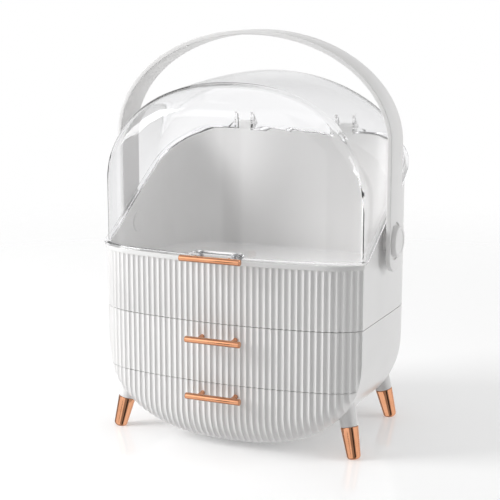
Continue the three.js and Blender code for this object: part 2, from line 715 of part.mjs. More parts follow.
const drawers = [
  {
    name: 'upper_drawer', front: upperFront, pullZ: upperSeamZ - pullDrop,
    bottom: shelfTopZ + seatGap, top: upperSeamZ - upperTrayDrop,
  },
  {
    name: 'lower_drawer', front: lowerFront, pullZ: lowerSeamZ - lowerPullDrop,
    bottom: bellyZ, top: lowerSeamZ - lowerTrayDrop,
  },
];
drawers.forEach(({ name, pullZ, front, bottom, top }) => {
  add(`${name}_front`, front(pullZ), white);
  add(`${name}_tray`, tray(bottom, top), white);
  const barY = frontY(0, 0) - pullReach + pullRadius;
  addPull(`${name}_pull`, pullRadius, pullLength, barY, pullZ,
    (x) => frontY(x, 0) - seatGap, (x) => frontY(x, frontWall));
});

// Carry handle: a flat band bent to an arch, with a recess and a bore at each pivot.
function archBand(reach, topZ, bottomZ) {
  const half = span(archSteps, 0, Math.PI).map((turn) => [
    reach * Math.cos(turn), handleStraightZ + (topZ - handleStraightZ) * Math.sin(turn)]);
  return [[reach, bottomZ], ...half, [-reach, bottomZ]];
}

function stadium(radius, lowZ, highZ) {
  const lower = span(smallSteps, Math.PI, 2 * Math.PI).map((turn) => [
    radius * Math.cos(turn), lowZ + radius + radius * Math.sin(turn)]);
  const upper = span(smallSteps, 0, Math.PI).map((turn) => [
    radius * Math.cos(turn), highZ - radius + radius * Math.sin(turn)]);
  return [...lower, ...upper];
}

function handleShape() {
  const inner = handleReach - handleThickness;
  const band = cut(
    frontPrism(archBand(handleReach, handleTopZ, handleBottomZ - overrun), -handleWidth / 2, handleWidth / 2),
    frontPrism(
      archBand(inner, handleTopZ - handleThickness, handleBottomZ - 2 * overrun), -handleWidth, handleWidth));
  const rounded = meet(band, sidePrism(
    stadium(handleWidth / 2, handleBottomZ, handleTopZ + handleWidth), -bodyWidth, bodyWidth));
  const bore = sidePrism(circle(pivotBoreRadius, 0, pivotZ), -bodyWidth, bodyWidth);
  const slot = stadium(knobRadius + recessClearance, pivotZ - recessHeight / 2, pivotZ + recessHeight / 2);
  const floorX = handleReach - recessDepth;
  return cut(rounded, bore,
    sidePrism(slot, floorX, floorX + overrun), sidePrism(slot, -floorX - overrun, -floorX));
}
add('handle', handleShape(), white);

// Pivots and knobs, turned about X.
const besideCase = planPrism(
  smoothOutline(-seatGap), pivotZ - 2 * pivotShoulderRadius, pivotZ + 2 * pivotShoulderRadius);

sides.forEach(([side, sign]) => {
  const shoulderEnd = handleReach - handleThickness - seatGap;
  const neckEnd = handleReach - recessDepth;
  const turned = revolve([
    [0, halfWidth - caseWall], [pivotShoulderRadius, halfWidth - caseWall],
    [pivotShoulderRadius, shoulderEnd], [pivotRadius, shoulderEnd], [pivotRadius, neckEnd], [0, neckEnd],
  ], roundSteps).rotateY(sign * Math.PI / 2).translate(0, 0, pivotZ);
  add(`handle_pivot_${side}`, cut(toSolid(turned), besideCase), white);

  const faceZ = knobThickness - knobDish;
  const dishRadius = knobRadius - knobRound - knobRimWidth;
  const knob = add(`handle_knob_${side}`, revolve([
    [0, 0], [knobRadius, 0], [knobRadius, knobThickness - knobRound],
    [knobRadius - knobRound * (1 - Math.SQRT1_2), knobThickness - knobRound * (1 - Math.SQRT1_2)],
    [knobRadius - knobRound, knobThickness], [dishRadius + knobDish, knobThickness],
    [dishRadius, faceZ], [0, faceZ],
  ], roundSteps), white);
  knob.rotation.y = sign * Math.PI / 2;
  knob.position.set(sign * (neckEnd + seatGap), 0, pivotZ);
});

// Legs: a neck seated under the casing, with a metal ferrule on its lower end.
const underCase = lowerBody(-seatGap, upperSeamZ, frontPlaneY - seatGap);

function legPlacement(footX, footY, sign) {
  const leg = new THREE.Matrix4().makeRotationFromEuler(
    new THREE.Euler(Math.sign(footY) * legLeanY, -sign * legLeanX, 0, 'XYZ'));
  leg.setPosition(sign * footX, footY, -footTrim);
  return leg;
}

const plugRadius = ferruleTopRadius - ferruleWall - 2 * seatGap;
const boreTaper = (ferruleTopRadius - ferruleFootRadius) * ferruleBoreDepth / ferruleTop;

sides.forEach(([side, sign]) => {
  const feet = [
    ['front', halfWidth - frontFootSide, frontPlaneY + footFront],
    ['rear', halfWidth - rearFootSide, rearY - footRear],
  ];
  feet.forEach(([end, footX, footY]) => {
    const placement = legPlacement(footX, footY, sign);
    const tip = span(tipSteps, 0, Math.PI / 2).map((turn) => [
      ferruleFootRadius - ferruleRound + ferruleRound * Math.sin(turn), ferruleRound * (1 - Math.cos(turn))]);
    const boreZ = ferruleTop - ferruleBoreDepth;
    const ferrule = revolve([
      [0, 0], ...tip, [ferruleTopRadius, ferruleTop], [ferruleTopRadius - ferruleWall, ferruleTop],
      [ferruleTopRadius - ferruleWall - boreTaper, boreZ], [0, boreZ],
    ], roundSteps).applyMatrix4(placement);
    const floor = block(-bodyWidth, bodyWidth, -bodyWidth, bodyWidth, -overrun, 0);
    add(`leg_ferrule_${end}_${side}`, cut(toSolid(ferrule), floor), copper);

    const shoulder = ferruleTop + seatGap;
    const neck = revolve([
      [0, boreZ + seatGap], [plugRadius - boreTaper, boreZ + seatGap], [plugRadius, shoulder],
      [ferruleTopRadius, shoulder], [ferruleTopRadius + neckGrowth, shoulder + neckLength],
      [0, shoulder + neckLength],
    ], roundSteps).applyMatrix4(placement);
    add(`leg_${end}_${side}`, cut(toSolid(neck), underCase), white);
  });
});

export default organizer;
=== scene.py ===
"""Looks, light and camera for the makeup organizer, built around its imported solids.

Sizes are in millimetres, and a mesh is scaled to metres as it is made. The studio's angles and the
creases are in degrees, all other angles in radians.
The front faces -Y, "left" is -X, and the floor is at Z = 0.
"""

import json
import logging
import math
from dataclasses import dataclass, field
from enum import Enum
from typing import Iterable, Sequence

import bmesh
import bpy
import numpy as np
from mathutils import Euler, Matrix, Vector

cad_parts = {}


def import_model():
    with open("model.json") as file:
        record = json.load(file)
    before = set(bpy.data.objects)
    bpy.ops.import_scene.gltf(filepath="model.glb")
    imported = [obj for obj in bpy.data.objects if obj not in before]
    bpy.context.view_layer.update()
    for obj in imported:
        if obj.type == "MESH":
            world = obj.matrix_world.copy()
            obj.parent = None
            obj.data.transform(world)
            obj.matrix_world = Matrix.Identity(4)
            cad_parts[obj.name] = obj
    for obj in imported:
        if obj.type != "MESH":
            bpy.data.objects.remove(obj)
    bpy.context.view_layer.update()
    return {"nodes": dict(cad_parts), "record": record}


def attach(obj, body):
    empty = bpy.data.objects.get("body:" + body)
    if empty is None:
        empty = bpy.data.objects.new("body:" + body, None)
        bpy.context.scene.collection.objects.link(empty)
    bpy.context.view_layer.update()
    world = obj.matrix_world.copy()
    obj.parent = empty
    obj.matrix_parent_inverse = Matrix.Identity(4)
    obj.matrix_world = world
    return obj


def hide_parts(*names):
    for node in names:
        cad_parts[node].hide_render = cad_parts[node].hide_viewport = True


Pair = tuple[float, float]
Point = tuple[float, float, float]
Ring = list[Point]
Colour = tuple[float, float, float, float]
Socket = bpy.types.NodeSocket
Piece = bpy.types.Object

log = logging.getLogger("organizer")
METRE = 0.001
WELD = 1e-4
QUARTER = math.pi / 2
CREASE = 35.0
# How far tools reach past the object, and how far past a face they begin
FAR = 200.0
OVERRUN = 8.0
# Where the middle of a softened edge lies, as a share of its size
EASE = 0.3
# Gap between pieces that seat on each other
SEAT_GAP = 0.3
# Facets round thin, usual and wide turned pieces
THIN = 32
USUAL = 48
WIDE = 64


class Body(Enum):
    """The moving bodies that a piece can ride on."""

    CASE = "case"
    LID = "lid"
    HANDLE = "handle"
    UPPER_DRAWER = "upper_drawer"
    LOWER_DRAWER = "lower_drawer"


class Slot(Enum):
    """The finishes that the record names."""

    WHITE = "white_plastic"
    CLEAR = "clear_plastic"
    COPPER = "rose_gold"
    STEEL = "steel"


class Side(Enum):
    """The two sides of the organizer, as the front is seen."""

    LEFT = -1
    RIGHT = 1


class Cut(Enum):
    """How a tool changes a solid."""

    TAKE = "DIFFERENCE"
    JOIN = "UNION"
    KEEP = "INTERSECT"


class Relief(Enum):
    """The fine reliefs that a finish can have."""

    SKIN = "Moulded skin"
    LINES = "Drawn lines"


# Shader building blocks


class Nodes:
    """Short calls for a node tree: makes nodes, sets their sockets and links them."""

    def __init__(self, tree: bpy.types.NodeTree) -> None:
        """Starts on the tree that new nodes go into, and empties it."""
        self.tree = tree
        tree.nodes.clear()

    def add(self, kind: str, settings: dict | None = None, **sockets: object) -> bpy.types.Node:
        """Adds one node.

        Args:
            kind: Blender's name of the node's type, without "ShaderNode".
            settings: attributes of the node, such as its operation.
            sockets: values or output sockets, by input name with _ for a space, or i and a number.

        Returns:
            The new node.
        """
        node = self.tree.nodes.new("ShaderNode" + kind)
        for name, value in (settings or {}).items():
            setattr(node, name, value)
        for name, value in sockets.items():
            self.feed(node, name, value)
        return node

    def feed(self, node: bpy.types.Node, name: str, value: object) -> None:
        """Sets or links one input.

        Args:
            node: the node that has the input.
            name: the input's name with _ for a space, or i and its number.
            value: a plain value or an output socket.
        """
        numbered = name[0] == "i" and name[1:].isdigit()
        socket = node.inputs[int(name[1:]) if numbered else name.replace("_", " ")]
        if isinstance(value, Socket):
            self.tree.links.new(value, socket)
        else:
            socket.default_value = value

    def math(self, operation: str, *values: object) -> Socket:
        """Adds a Math node and returns its output."""
        made = self.add("Math", {"operation": operation}, **{f"i{i}": v for i, v in enumerate(values)})
        return made.outputs[0]

    def ramp(self, value: object, low: float, high: float, to: Pair) -> Socket:
        """Maps a value smoothly from one range to another and returns the result."""
        made = self.add("MapRange", {"interpolation_type": "SMOOTHSTEP"}, Value=value, From_Min=low,
                        From_Max=high, To_Min=to[0], To_Max=to[1])
        return made.outputs[0]

    def mix(self, factor: object, one: bpy.types.Node, two: bpy.types.Node) -> Socket:
        """Mixes two shaders and returns the result."""
        return self.add("MixShader", i0=factor, i1=one.outputs[0], i2=two.outputs[0]).outputs[0]


class Effects:
    """The effects that several finishes share, each built once as a node group."""

    def __init__(self) -> None:
        """Builds every shared effect."""
        self.reliefs = {Relief.SKIN: self._moulded_skin(), Relief.LINES: self._drawn_lines()}
        self.cloudy_tone = self._cloudy_tone()

    @staticmethod
    def _start(name: str, inputs: dict[str, float],
               outputs: Sequence[str]) -> tuple[Nodes, bpy.types.bpy_prop_collection, Socket, Socket]:
        """Starts a group with named float sockets.

        Args:
            name: the group's name.
            inputs: the inputs with their usual values, with the size in millimetres first.
            outputs: the outputs.

        Returns:
            The tree to build in, its inputs, the place on the object, and the scale for the size.
        """
        tree = bpy.data.node_groups.new(name, "ShaderNodeTree")
        for label, value in inputs.items():
            socket = tree.interface.new_socket(label, in_out="INPUT", socket_type="NodeSocketFloat")
            socket.default_value = value
        for label in outputs:
            tree.interface.new_socket(label, in_out="OUTPUT", socket_type="NodeSocketFloat")
        nodes = Nodes(tree)
        entry = tree.nodes.new("NodeGroupInput").outputs
        place = nodes.add("TexCoord").outputs["Object"]
        return nodes, entry, place, nodes.math("DIVIDE", 1 / METRE, entry["Size"])

    @staticmethod
    def _close(nodes: Nodes, **results: Socket) -> bpy.types.NodeTree:
        """Links a group's results to its outputs.

        Args:
            nodes: the group's tree.
            results: output sockets, by the names of the group's outputs.

        Returns:
            The group.
        """
        end = nodes.tree.nodes.new("NodeGroupOutput")
        for name, value in results.items():
            nodes.feed(end, name, value)
        return nodes.tree

    def _moulded_skin(self) -> bpy.types.NodeTree:
        """Fine orange peel of moulded plastic, and returns its group."""
        nodes, entry, place, scale = self._start("Moulded skin", {"Size": 1.2, "Depth": 1.0}, ["Height"])
        peel = nodes.add("TexNoise", Vector=place, Scale=scale, Detail=2.0, Roughness=0.45)
        wide = nodes.add("TexNoise", Vector=place, Scale=nodes.math("MULTIPLY", scale, 0.04), Detail=1.0)
        both = nodes.math("ADD", nodes.math("MULTIPLY", peel.outputs[0], 0.25), wide.outputs[0])
        return self._close(nodes, Height=nodes.math("MULTIPLY", both, entry["Depth"]))

    def _drawn_lines(self) -> bpy.types.NodeTree:
        """Fine lines that run along X, as on drawn or turned metal, and returns its group."""
        nodes, entry, place, scale = self._start("Drawn lines", {"Size": 0.5, "Depth": 1.0}, ["Height"])
        flat = nodes.add("Mapping", Vector=place, Scale=(0.02, 1.0, 1.0)).outputs[0]
        lines = nodes.add("TexNoise", Vector=flat, Scale=scale, Detail=1.0)
        return self._close(nodes, Height=nodes.math("MULTIPLY", lines.outputs[0], entry["Depth"]))

    def _cloudy_tone(self) -> bpy.types.NodeTree:
        """Slow change of tone and gloss over a surface, and returns its group."""
        nodes, entry, place, scale = self._start("Cloudy tone", {"Size": 90.0, "Level": 0.3, "Spread": 0.04},
                                                 ["Mask", "Value"])
        cloud = nodes.add("TexNoise", Vector=place, Scale=scale, Detail=3.0, Roughness=0.55)
        mask = nodes.ramp(cloud.outputs[0], 0.35, 0.65, (0.0, 1.0))
        centred = nodes.math("SUBTRACT", mask, 0.5)
        value = nodes.math("MULTIPLY_ADD", centred, entry["Spread"], entry["Level"])
        return self._close(nodes, Mask=mask, Value=value)


# Finishes


@dataclass(frozen=True)
class Finish:
    """An opaque finish: two tones in slow clouds and a fine relief.

    The clouds' and the relief's grain is in millimetres, the relief's height in metres.
    """

    name: str
    light: Colour
    deep: Colour
    roughness: float
    spread: float
    cloud: float
    relief: Relief
    grain: float
    strength: float
    height: float
    metallic: float = 0.0
    ior: float = 1.5
    transmission: float = 0.0
    coat: float = 0.0
    coat_roughness: float = 0.12

    def blend(self, nodes: Nodes, mask: Socket) -> Socket:
        """Where the deep tone shows: in the clouds."""
        return mask

    def surface(self, nodes: Nodes, shader: bpy.types.Node) -> Socket:
        """What the material puts out: the shader alone."""
        return shader.outputs[0]

    def material(self, effects: Effects) -> bpy.types.Material:
        """Builds the material.

        Args:
            effects: the shared effects.

        Returns:
            The material.
        """
        made = bpy.data.materials.new(self.name)
        made.use_nodes = True
        nodes = Nodes(made.node_tree)
        tone = nodes.add("Group", {"node_tree": effects.cloudy_tone}, Size=self.cloud, Level=self.roughness,
                         Spread=self.spread)
        relief = nodes.add("Group", {"node_tree": effects.reliefs[self.relief]}, Size=self.grain, Depth=1.0)
        colour = nodes.add("Mix", {"data_type": "RGBA"}, Factor=self.blend(nodes, tone.outputs["Mask"]),
                           i6=self.light, i7=self.deep)
        bump = nodes.add("Bump", Height=relief.outputs["Height"], Strength=self.strength,
                         Distance=self.height)
        shader = nodes.add(
            "BsdfPrincipled", Base_Color=colour.outputs[2], Roughness=tone.outputs["Value"],
            Normal=bump.outputs[0], Metallic=self.metallic, IOR=self.ior, Coat_Weight=self.coat,
            Coat_Roughness=self.coat_roughness, Transmission_Weight=self.transmission)
        nodes.add("OutputMaterial", Surface=self.surface(nodes, shader))
        return made


@dataclass(frozen=True)
class ClearFinish(Finish):
    """A clear finish with painted edge shade, darker where it is seen edge-on, that lets light through."""

    facing: float = 0.35
    # Facing value where the painted edge shade starts
    edge_shade_start: float = 0.55
    shadow: Colour = (0.97, 0.97, 0.97, 1.0)

    def blend(self, nodes: Nodes, mask: Socket) -> Socket:
        """Where the deep tone shows: at edges, as painted edge shade."""
        facing = nodes.add("LayerWeight", Blend=self.facing).outputs["Facing"]
        return nodes.ramp(facing, self.edge_shade_start, 1.0, (0.0, 1.0))

    def surface(self, nodes: Nodes, shader: bpy.types.Node) -> Socket:
        """What the material puts out: the shader, but plain transparency in shadows and diffuse light."""
        path = nodes.add("LightPath").outputs
        unseen = nodes.math("MAXIMUM", path["Is Shadow Ray"], path["Is Diffuse Ray"])
        return nodes.mix(unseen, shader, nodes.add("BsdfTransparent", Color=self.shadow))


@dataclass
class Finishes:
    """The finished materials, by the record's slot."""

    white: Finish = Finish(
        "White plastic", (0.88, 0.875, 0.87, 1.0), (0.85, 0.845, 0.84, 1.0), roughness=0.34, spread=0.05,
        cloud=120.0, relief=Relief.SKIN, grain=1.4, strength=0.02, height=0.0004, ior=1.49, coat=0.25)
    # The clear finish's deep tone is painted edge shade, shown where the lid is seen edge-on
    clear: Finish = ClearFinish(
        "Clear plastic", (0.97, 0.97, 0.975, 1.0), (0.78, 0.785, 0.80, 1.0), roughness=0.03, spread=0.02,
        cloud=60.0, relief=Relief.SKIN, grain=6.0, strength=0.02, height=0.0003, ior=1.45, transmission=1.0)
    copper: Finish = Finish(
        "Rose gold", (0.69, 0.335, 0.19, 1.0), (0.63, 0.295, 0.16, 1.0), roughness=0.10, spread=0.02,
        cloud=14.0, relief=Relief.LINES, grain=0.35, strength=0.01, height=0.0002, metallic=1.0)
    steel: Finish = Finish(
        "Screw steel", (0.62, 0.63, 0.65, 1.0), (0.50, 0.51, 0.53, 1.0), roughness=0.28, spread=0.02,
        cloud=14.0, relief=Relief.LINES, grain=0.35, strength=0.06, height=0.0002, metallic=1.0)
    effects: Effects = field(default_factory=Effects)

    def __post_init__(self) -> None:
        """Builds one material for each slot."""
        finishes = (self.white, self.clear, self.copper, self.steel)
        self.by_slot = {slot: finish.material(self.effects) for slot, finish in zip(Slot, finishes)}

    def dress_node(self, node: Piece, slot: Slot) -> None:
        """Gives a carried-over node its material."""
        for part in node.material_slots:
            part.material = self.by_slot[slot]

    def dress(self, piece: Piece, slot: Slot, body: Body, node: str) -> None:
        """Dresses a new piece and ties it to its body and node.

        Args:
            piece: the new mesh object.
            slot: its finish.
            body: the body it rides on.
            node: the node it stands for.
        """
        piece.data.materials.clear()
        piece.data.materials.append(self.by_slot[slot])
        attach(piece, body.value)
        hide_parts(node)


# The studio


@dataclass(frozen=True)
class Zone:
    """A soft-edged patch of the studio that gloss shows, from the front to the right and up."""

    left: float
    right: float
    low: float
    high: float
    level: float
    soft: float = 6.0

    def paint(self, nodes: Nodes, turn: Socket, rise: Socket, under: object) -> Socket:
        """Lays the patch over what is under it.

        Args:
            nodes: the world's tree.
            turn: direction to the right of the front, in radians.
            rise: direction above the horizon, in radians.
            under: level so far.

        Returns:
            The new level.
        """
        mask: object = 1.0
        half = self.soft / 2
        for value, start, end in ((turn, self.left, self.right), (rise, self.low, self.high)):
            for edge, to in ((start, (0.0, 1.0)), (end, (1.0, 0.0))):
                inside = nodes.ramp(value, math.radians(edge - half), math.radians(edge + half), to)
                mask = nodes.math("MULTIPLY", mask, inside)
        return nodes.math("MULTIPLY_ADD", nodes.math("SUBTRACT", self.level, under), mask, under)


@dataclass(frozen=True)
class Lamp:
    """A soft rectangular lamp, with its power in watts, that gloss doesn't show."""

    name: str
    place: Point
    size: Pair
    watts: float

    def build(self, aim: Point) -> None:
        """Adds the lamp, turned to a point.

        Args:
            aim: the point.
        """
        data = bpy.data.lights.new(self.name, "AREA")
        data.shape = "RECTANGLE"
        data.size, data.size_y = (s * METRE for s in self.size)
        data.energy = self.watts
        lamp = place_object(self.name, data)
        lamp.visible_glossy = False
        lamp.location = Vector(self.place) * METRE
        lamp.rotation_mode = "QUATERNION"
        lamp.rotation_quaternion = (Vector(aim) - Vector(self.place)).to_track_quat("-Z", "Y")


@dataclass
class Studio:
    """Floor, backdrop light, lamps and camera."""

    azimuth: float = 23.4
    elevation: float = 11.2
    distance: float = 1372.0
    target: Point = (-11.0, 10.0, 187.1)
    lens: float = 93.6
    sensor: float = 36.0
    sight: float = 50000.0
    floor_hole: float = 0.1
    floor_radius: float = 3000.0
    floor_colour: Colour = (0.86, 0.86, 0.86, 1.0)
    floor_roughness: float = 0.05
    floor_glow: float = 0.26
    floor_fade: Pair = (500.0, 1600.0)
    ambient: float = 0.27
    dim: float = 0.38
    zones: tuple[Zone, ...] = (
        Zone(-200.0, -125.0, -100.0, 16.0, 0.95, 14.0),
        Zone(125.0, 200.0, -100.0, 16.0, 0.95, 14.0),
        Zone(-78.0, 6.0, -60.0, 58.0, 1.2),
        Zone(66.0, 125.0, -60.0, 58.0, 1.2),
        Zone(-42.0, -21.0, 14.0, 34.0, 2.4),
        Zone(37.0, 54.0, -50.0, 35.0, 0.03, 4.0),
        Zone(-23.6, -19.0, -14.0, 9.0, 0.03, 1.6),
    )
    aim: Point = (0.0, 0.0, 200.0)
    lamps: tuple[Lamp, ...] = (
        Lamp("Key", (-1500.0, -870.0, 850.0), (700.0, 1200.0), 29.0),
        Lamp("Overhead", (0.0, 0.0, 1700.0), (1600.0, 1600.0), 9.0),
        Lamp("Right", (1700.0, 700.0, 500.0), (600.0, 1200.0), 10.5),
    )

    def camera(self) -> None:
        """Places the camera at the photograph's angle."""
        turn, rise = math.radians(self.azimuth), math.radians(self.elevation)
        back = Vector((math.sin(turn) * math.cos(rise), -math.cos(turn) * math.cos(rise), math.sin(rise)))
        data = bpy.data.cameras.new("Camera")
        data.lens = self.lens
        data.sensor_width = self.sensor
        data.clip_end = self.sight * METRE
        camera = place_object("Camera", data)
        camera.location = (Vector(self.target) + back * self.distance) * METRE
        camera.rotation_mode = "QUATERNION"
        camera.rotation_quaternion = (-back).to_track_quat("-Z", "Y")
        bpy.context.scene.camera = camera

    def world(self) -> None:
        """White behind the object, a plain level of light on it, and a studio for gloss to show."""
        world = bpy.data.worlds.new("Studio")
        world.use_nodes = True
        bpy.context.scene.world = world
        nodes = Nodes(world.node_tree)
        path = nodes.add("LightPath").outputs
        ahead = nodes.add("SeparateXYZ", Vector=nodes.add("TexCoord").outputs["Generated"]).outputs
        turn = nodes.math("ARCTAN2", ahead["X"], nodes.math("MULTIPLY", ahead["Y"], -1.0))
        rise = nodes.math("ARCSINE", ahead["Z"])
        level: object = self.dim
        for zone in self.zones:
            level = zone.paint(nodes, turn, rise, level)
        seen = nodes.math("MAXIMUM", path["Is Camera Ray"], path["Is Transmission Ray"])
        level = nodes.math("MAXIMUM", level, seen)
        white = nodes.add("Background", Color=(1.0, 1.0, 1.0, 1.0), Strength=level)
        room = nodes.add("Background", Color=(1.0, 1.0, 1.0, 1.0), Strength=self.ambient)
        seen = nodes.math("MAXIMUM", seen, path["Is Glossy Ray"])
        nodes.add("OutputWorld", Surface=nodes.mix(seen, room, white))

    def floor(self) -> None:
        """Pale floor that fades into the white behind it."""
        floor = loft("Floor", [[(r * math.cos(t), r * math.sin(t), 0.0) for t in turns(WIDE)]
                               for r in (self.floor_hole, self.floor_radius)], caps=False)
        made = bpy.data.materials.new("Floor")
        made.use_nodes = True
        nodes = Nodes(made.node_tree)
        place = nodes.add("TexCoord").outputs["Object"]
        away = nodes.add("VectorMath", {"operation": "LENGTH"}, i0=place).outputs["Value"]
        fade = nodes.ramp(away, self.floor_fade[0] * METRE, self.floor_fade[1] * METRE, (0.0, 1.0))
        path = nodes.add("LightPath").outputs
        glow = nodes.math("MULTIPLY", path["Is Camera Ray"], self.floor_glow)
        shader = nodes.add("BsdfPrincipled", Base_Color=self.floor_colour, Roughness=self.floor_roughness,
                           Emission_Color=(1.0, 1.0, 1.0, 1.0), Emission_Strength=glow)
        gone = nodes.math("MAXIMUM", fade, path["Is Glossy Ray"])
        nodes.add("OutputMaterial", Surface=nodes.mix(gone, shader, nodes.add("BsdfTransparent")))
        floor.data.materials.append(made)

    def build(self) -> None:
        """Builds the whole studio."""
        bpy.context.scene.view_settings.view_transform = "Standard"
        self.camera()
        self.world()
        self.floor()
        for lamp in self.lamps:
            lamp.build(self.aim)
        log.info("studio: floor, camera and %d lamps", len(self.lamps))


# Meshes


def place_object(name: str, data: bpy.types.ID) -> Piece:
    """Links a new object with its data into the scene.

    Args:
        name: the object's name.
        data: its mesh, light or camera.

    Returns:
        The object.
    """
    made = bpy.data.objects.new(name, data)
    bpy.context.scene.collection.objects.link(made)
    return made


def turns(steps: int) -> list[float]:
    """Evenly spaced angles once round, without the last."""
    return [2 * math.pi * i / steps for i in range(steps)]


def span(steps: int, start: float, end: float) -> list[float]:
    """Evenly spaced values from start to end, both included."""
    return [start + (end - start) * i / steps for i in range(steps + 1)]


def arc(across: float, up: float, radius: float, start: float, end: float, steps: int = 24) -> list[Pair]:
    """Points round a centre from one angle to another, both included."""
    return [(across + radius * math.cos(t), up + radius * math.sin(t)) for t in span(steps, start, end)]


def mirrored(half: Sequence[Pair]) -> list[Pair]:
    """A half outline, and then its mirror image back again."""
    return [*half, *((-a, b) for a, b in reversed(half))]


def even(path: Sequence[Sequence[float]], count: int) -> list[np.ndarray]:
    """The columns of a path at even distances, which its first two columns measure.

    Args:
        path: its rows, with the two measured columns first.
        count: how many rows are wanted.

    Returns:
        The columns, one array each.
    """
    table = np.array(path)
    run = np.concatenate([[0.0], np.cumsum(np.hypot(*np.diff(table[:, :2], axis=0).T))])
    return [np.interp(np.linspace(0.0, run[-1], count), run, column) for column in table.T]


def clamp(value: float, low: float = 0.0, high: float = 1.0) -> float:
    """The value, kept between low and high."""
    return max(low, min(high, value))


def turned_to(place: Point, angle: float, axis: str) -> Matrix:
    """A matrix that turns about an axis and then moves to a place."""
    return Matrix.Translation(place) @ Matrix.Rotation(angle, 4, axis)


def smooth(piece: Piece, crease: float) -> Piece:
    """Shades a piece smooth but for its sharp edges.

    Args:
        piece: the mesh object.
        crease: the angle above which an edge stays sharp.

    Returns:
        The piece.
    """
    piece.data.shade_smooth()
    piece.data.set_sharp_from_angle(angle=math.radians(crease))
    return piece


def mesh_object(name: str, points: Iterable[Point], faces: Iterable[Sequence[int]],
                crease: float = CREASE) -> Piece:
    """Makes an object from points, with its faces turned outwards.

    Args:
        name: the object's name.
        points: the vertices.
        faces: vertex numbers of each face.
        crease: the angle above which an edge stays sharp.

    Returns:
        The linked object.
    """
    mesh = bpy.data.meshes.new(name)
    mesh.from_pydata([tuple(c * METRE for c in p) for p in points], [], list(faces))
    bare = bmesh.new()
    bare.from_mesh(mesh)
    bmesh.ops.remove_doubles(bare, verts=bare.verts, dist=WELD * METRE)
    bmesh.ops.recalc_face_normals(bare, faces=bare.faces)
    bare.to_mesh(mesh)
    bare.free()
    return smooth(place_object(name, mesh), crease)


def strip(one: list[int], two: list[int], closed: bool = False) -> list[tuple[int, ...]]:
    """Quads between two equally long rows of vertex numbers.

    Args:
        one: the first row.
        two: the second row.
        closed: whether they go round to the start.

    Returns:
        The faces.
    """
    if closed:
        one, two = one + one[:1], two + two[:1]
    return [(a, b, d, c) for a, b, c, d in zip(one, one[1:], two, two[1:])]


def loft_faces(rows: int, size: int, closed: bool, start: int = 0) -> list[tuple[int, ...]]:
    """Quads between rows of points.

    Args:
        rows: how many rows.
        size: points in a row.
        closed: whether each row is a closed ring.
        start: number of the first point.

    Returns:
        The faces.
    """
    grid = [list(range(start + i * size, start + (i + 1) * size)) for i in range(rows)]
    return [face for one, two in zip(grid, grid[1:]) for face in strip(one, two, closed)]


def loft(name: str, rings: Sequence[Ring], caps: bool = True, crease: float = CREASE) -> Piece:
    """Makes a skin through closed rings of equal length.

    Args:
        name: the object's name.
        rings: the rings, in order.
        caps: whether the first and last ring are closed with a face.
        crease: the angle above which an edge stays sharp.

    Returns:
        The linked object.
    """
    size = len(rings[0])
    faces = loft_faces(len(rings), size, closed=True)
    if caps:
        last = (len(rings) - 1) * size
        faces += [tuple(reversed(range(size))), tuple(range(last, last + size))]
    return mesh_object(name, [p for ring in rings for p in ring], faces, crease)


def lathe(name: str, profile: Sequence[Pair], place: Matrix, steps: int = USUAL) -> Piece:
    """Turns a profile about Z and puts the result in its place.

    Args:
        name: the object's name.
        profile: radius and height pairs that start and end on the axis.
        place: the matrix from the turned shape to the frame.
        steps: facets round the axis.

    Returns:
        The linked object.
    """
    inner = profile[1:-1]
    points = [place @ Vector((r * math.cos(t), r * math.sin(t), z)) for r, z in inner for t in turns(steps)]
    faces = loft_faces(len(inner), steps, closed=True)
    for row, z in ((0, profile[0][1]), (len(inner) - 1, profile[-1][1])):
        points.append(place @ Vector((0, 0, z)))
        faces += [(row * steps + i, row * steps + (i + 1) % steps, len(points) - 1) for i in range(steps)]
    return mesh_object(name, points, faces)


def prism(name: str, outline: Sequence[Pair], start: float, end: float, axis: str) -> Piece:
    """Extrudes an outline along an axis.

    Args:
        name: the object's name.
        outline: pairs in the two other axes, in the order x, y, z.
        start: where it starts along the axis.
        end: where it ends.
        axis: "x", "y" or "z".

    Returns:
        The linked object.
    """
    at = "xyz".index(axis)
    return loft(name, [[(*p[:at], level, *p[at:]) for p in outline] for level in (start, end)])


def block(x: Pair, y: Pair, z: Pair) -> Piece:
    """A plain box between the given limits, used as a tool."""
    return prism("Block", [(x[0], y[0]), (x[1], y[0]), (x[1], y[1]), (x[0], y[1])], *z, "z")


def combine(piece: Piece, how: Cut, *tools: Piece, crease: float = CREASE) -> Piece:
    """Changes a solid by others, which are used up.

    Args:
        piece: the solid that changes.
        how: take away, join, or keep what is common.
        tools: the other solids.
        crease: the angle above which an edge stays sharp.

    Returns:
        The changed piece.
    """
    for tool in tools:
        step = piece.modifiers.new("Combine", "BOOLEAN")
        step.operation = how.value
        step.solver = "MANIFOLD"
        step.object = tool
    graph = bpy.context.evaluated_depsgraph_get()
    made = bpy.data.meshes.new_from_object(piece.evaluated_get(graph))
    piece.modifiers.clear()
    piece.data = made
    for tool in tools:
        bpy.data.objects.remove(tool)
    return smooth(piece, crease)


# Outlines that several sub-assemblies share


@dataclass(frozen=True)
class Column:
    """One upright line of a front: place along X, facing direction and depth of the channel."""

    x: float
    turn: float = 0.0
    depth: float = 0.0


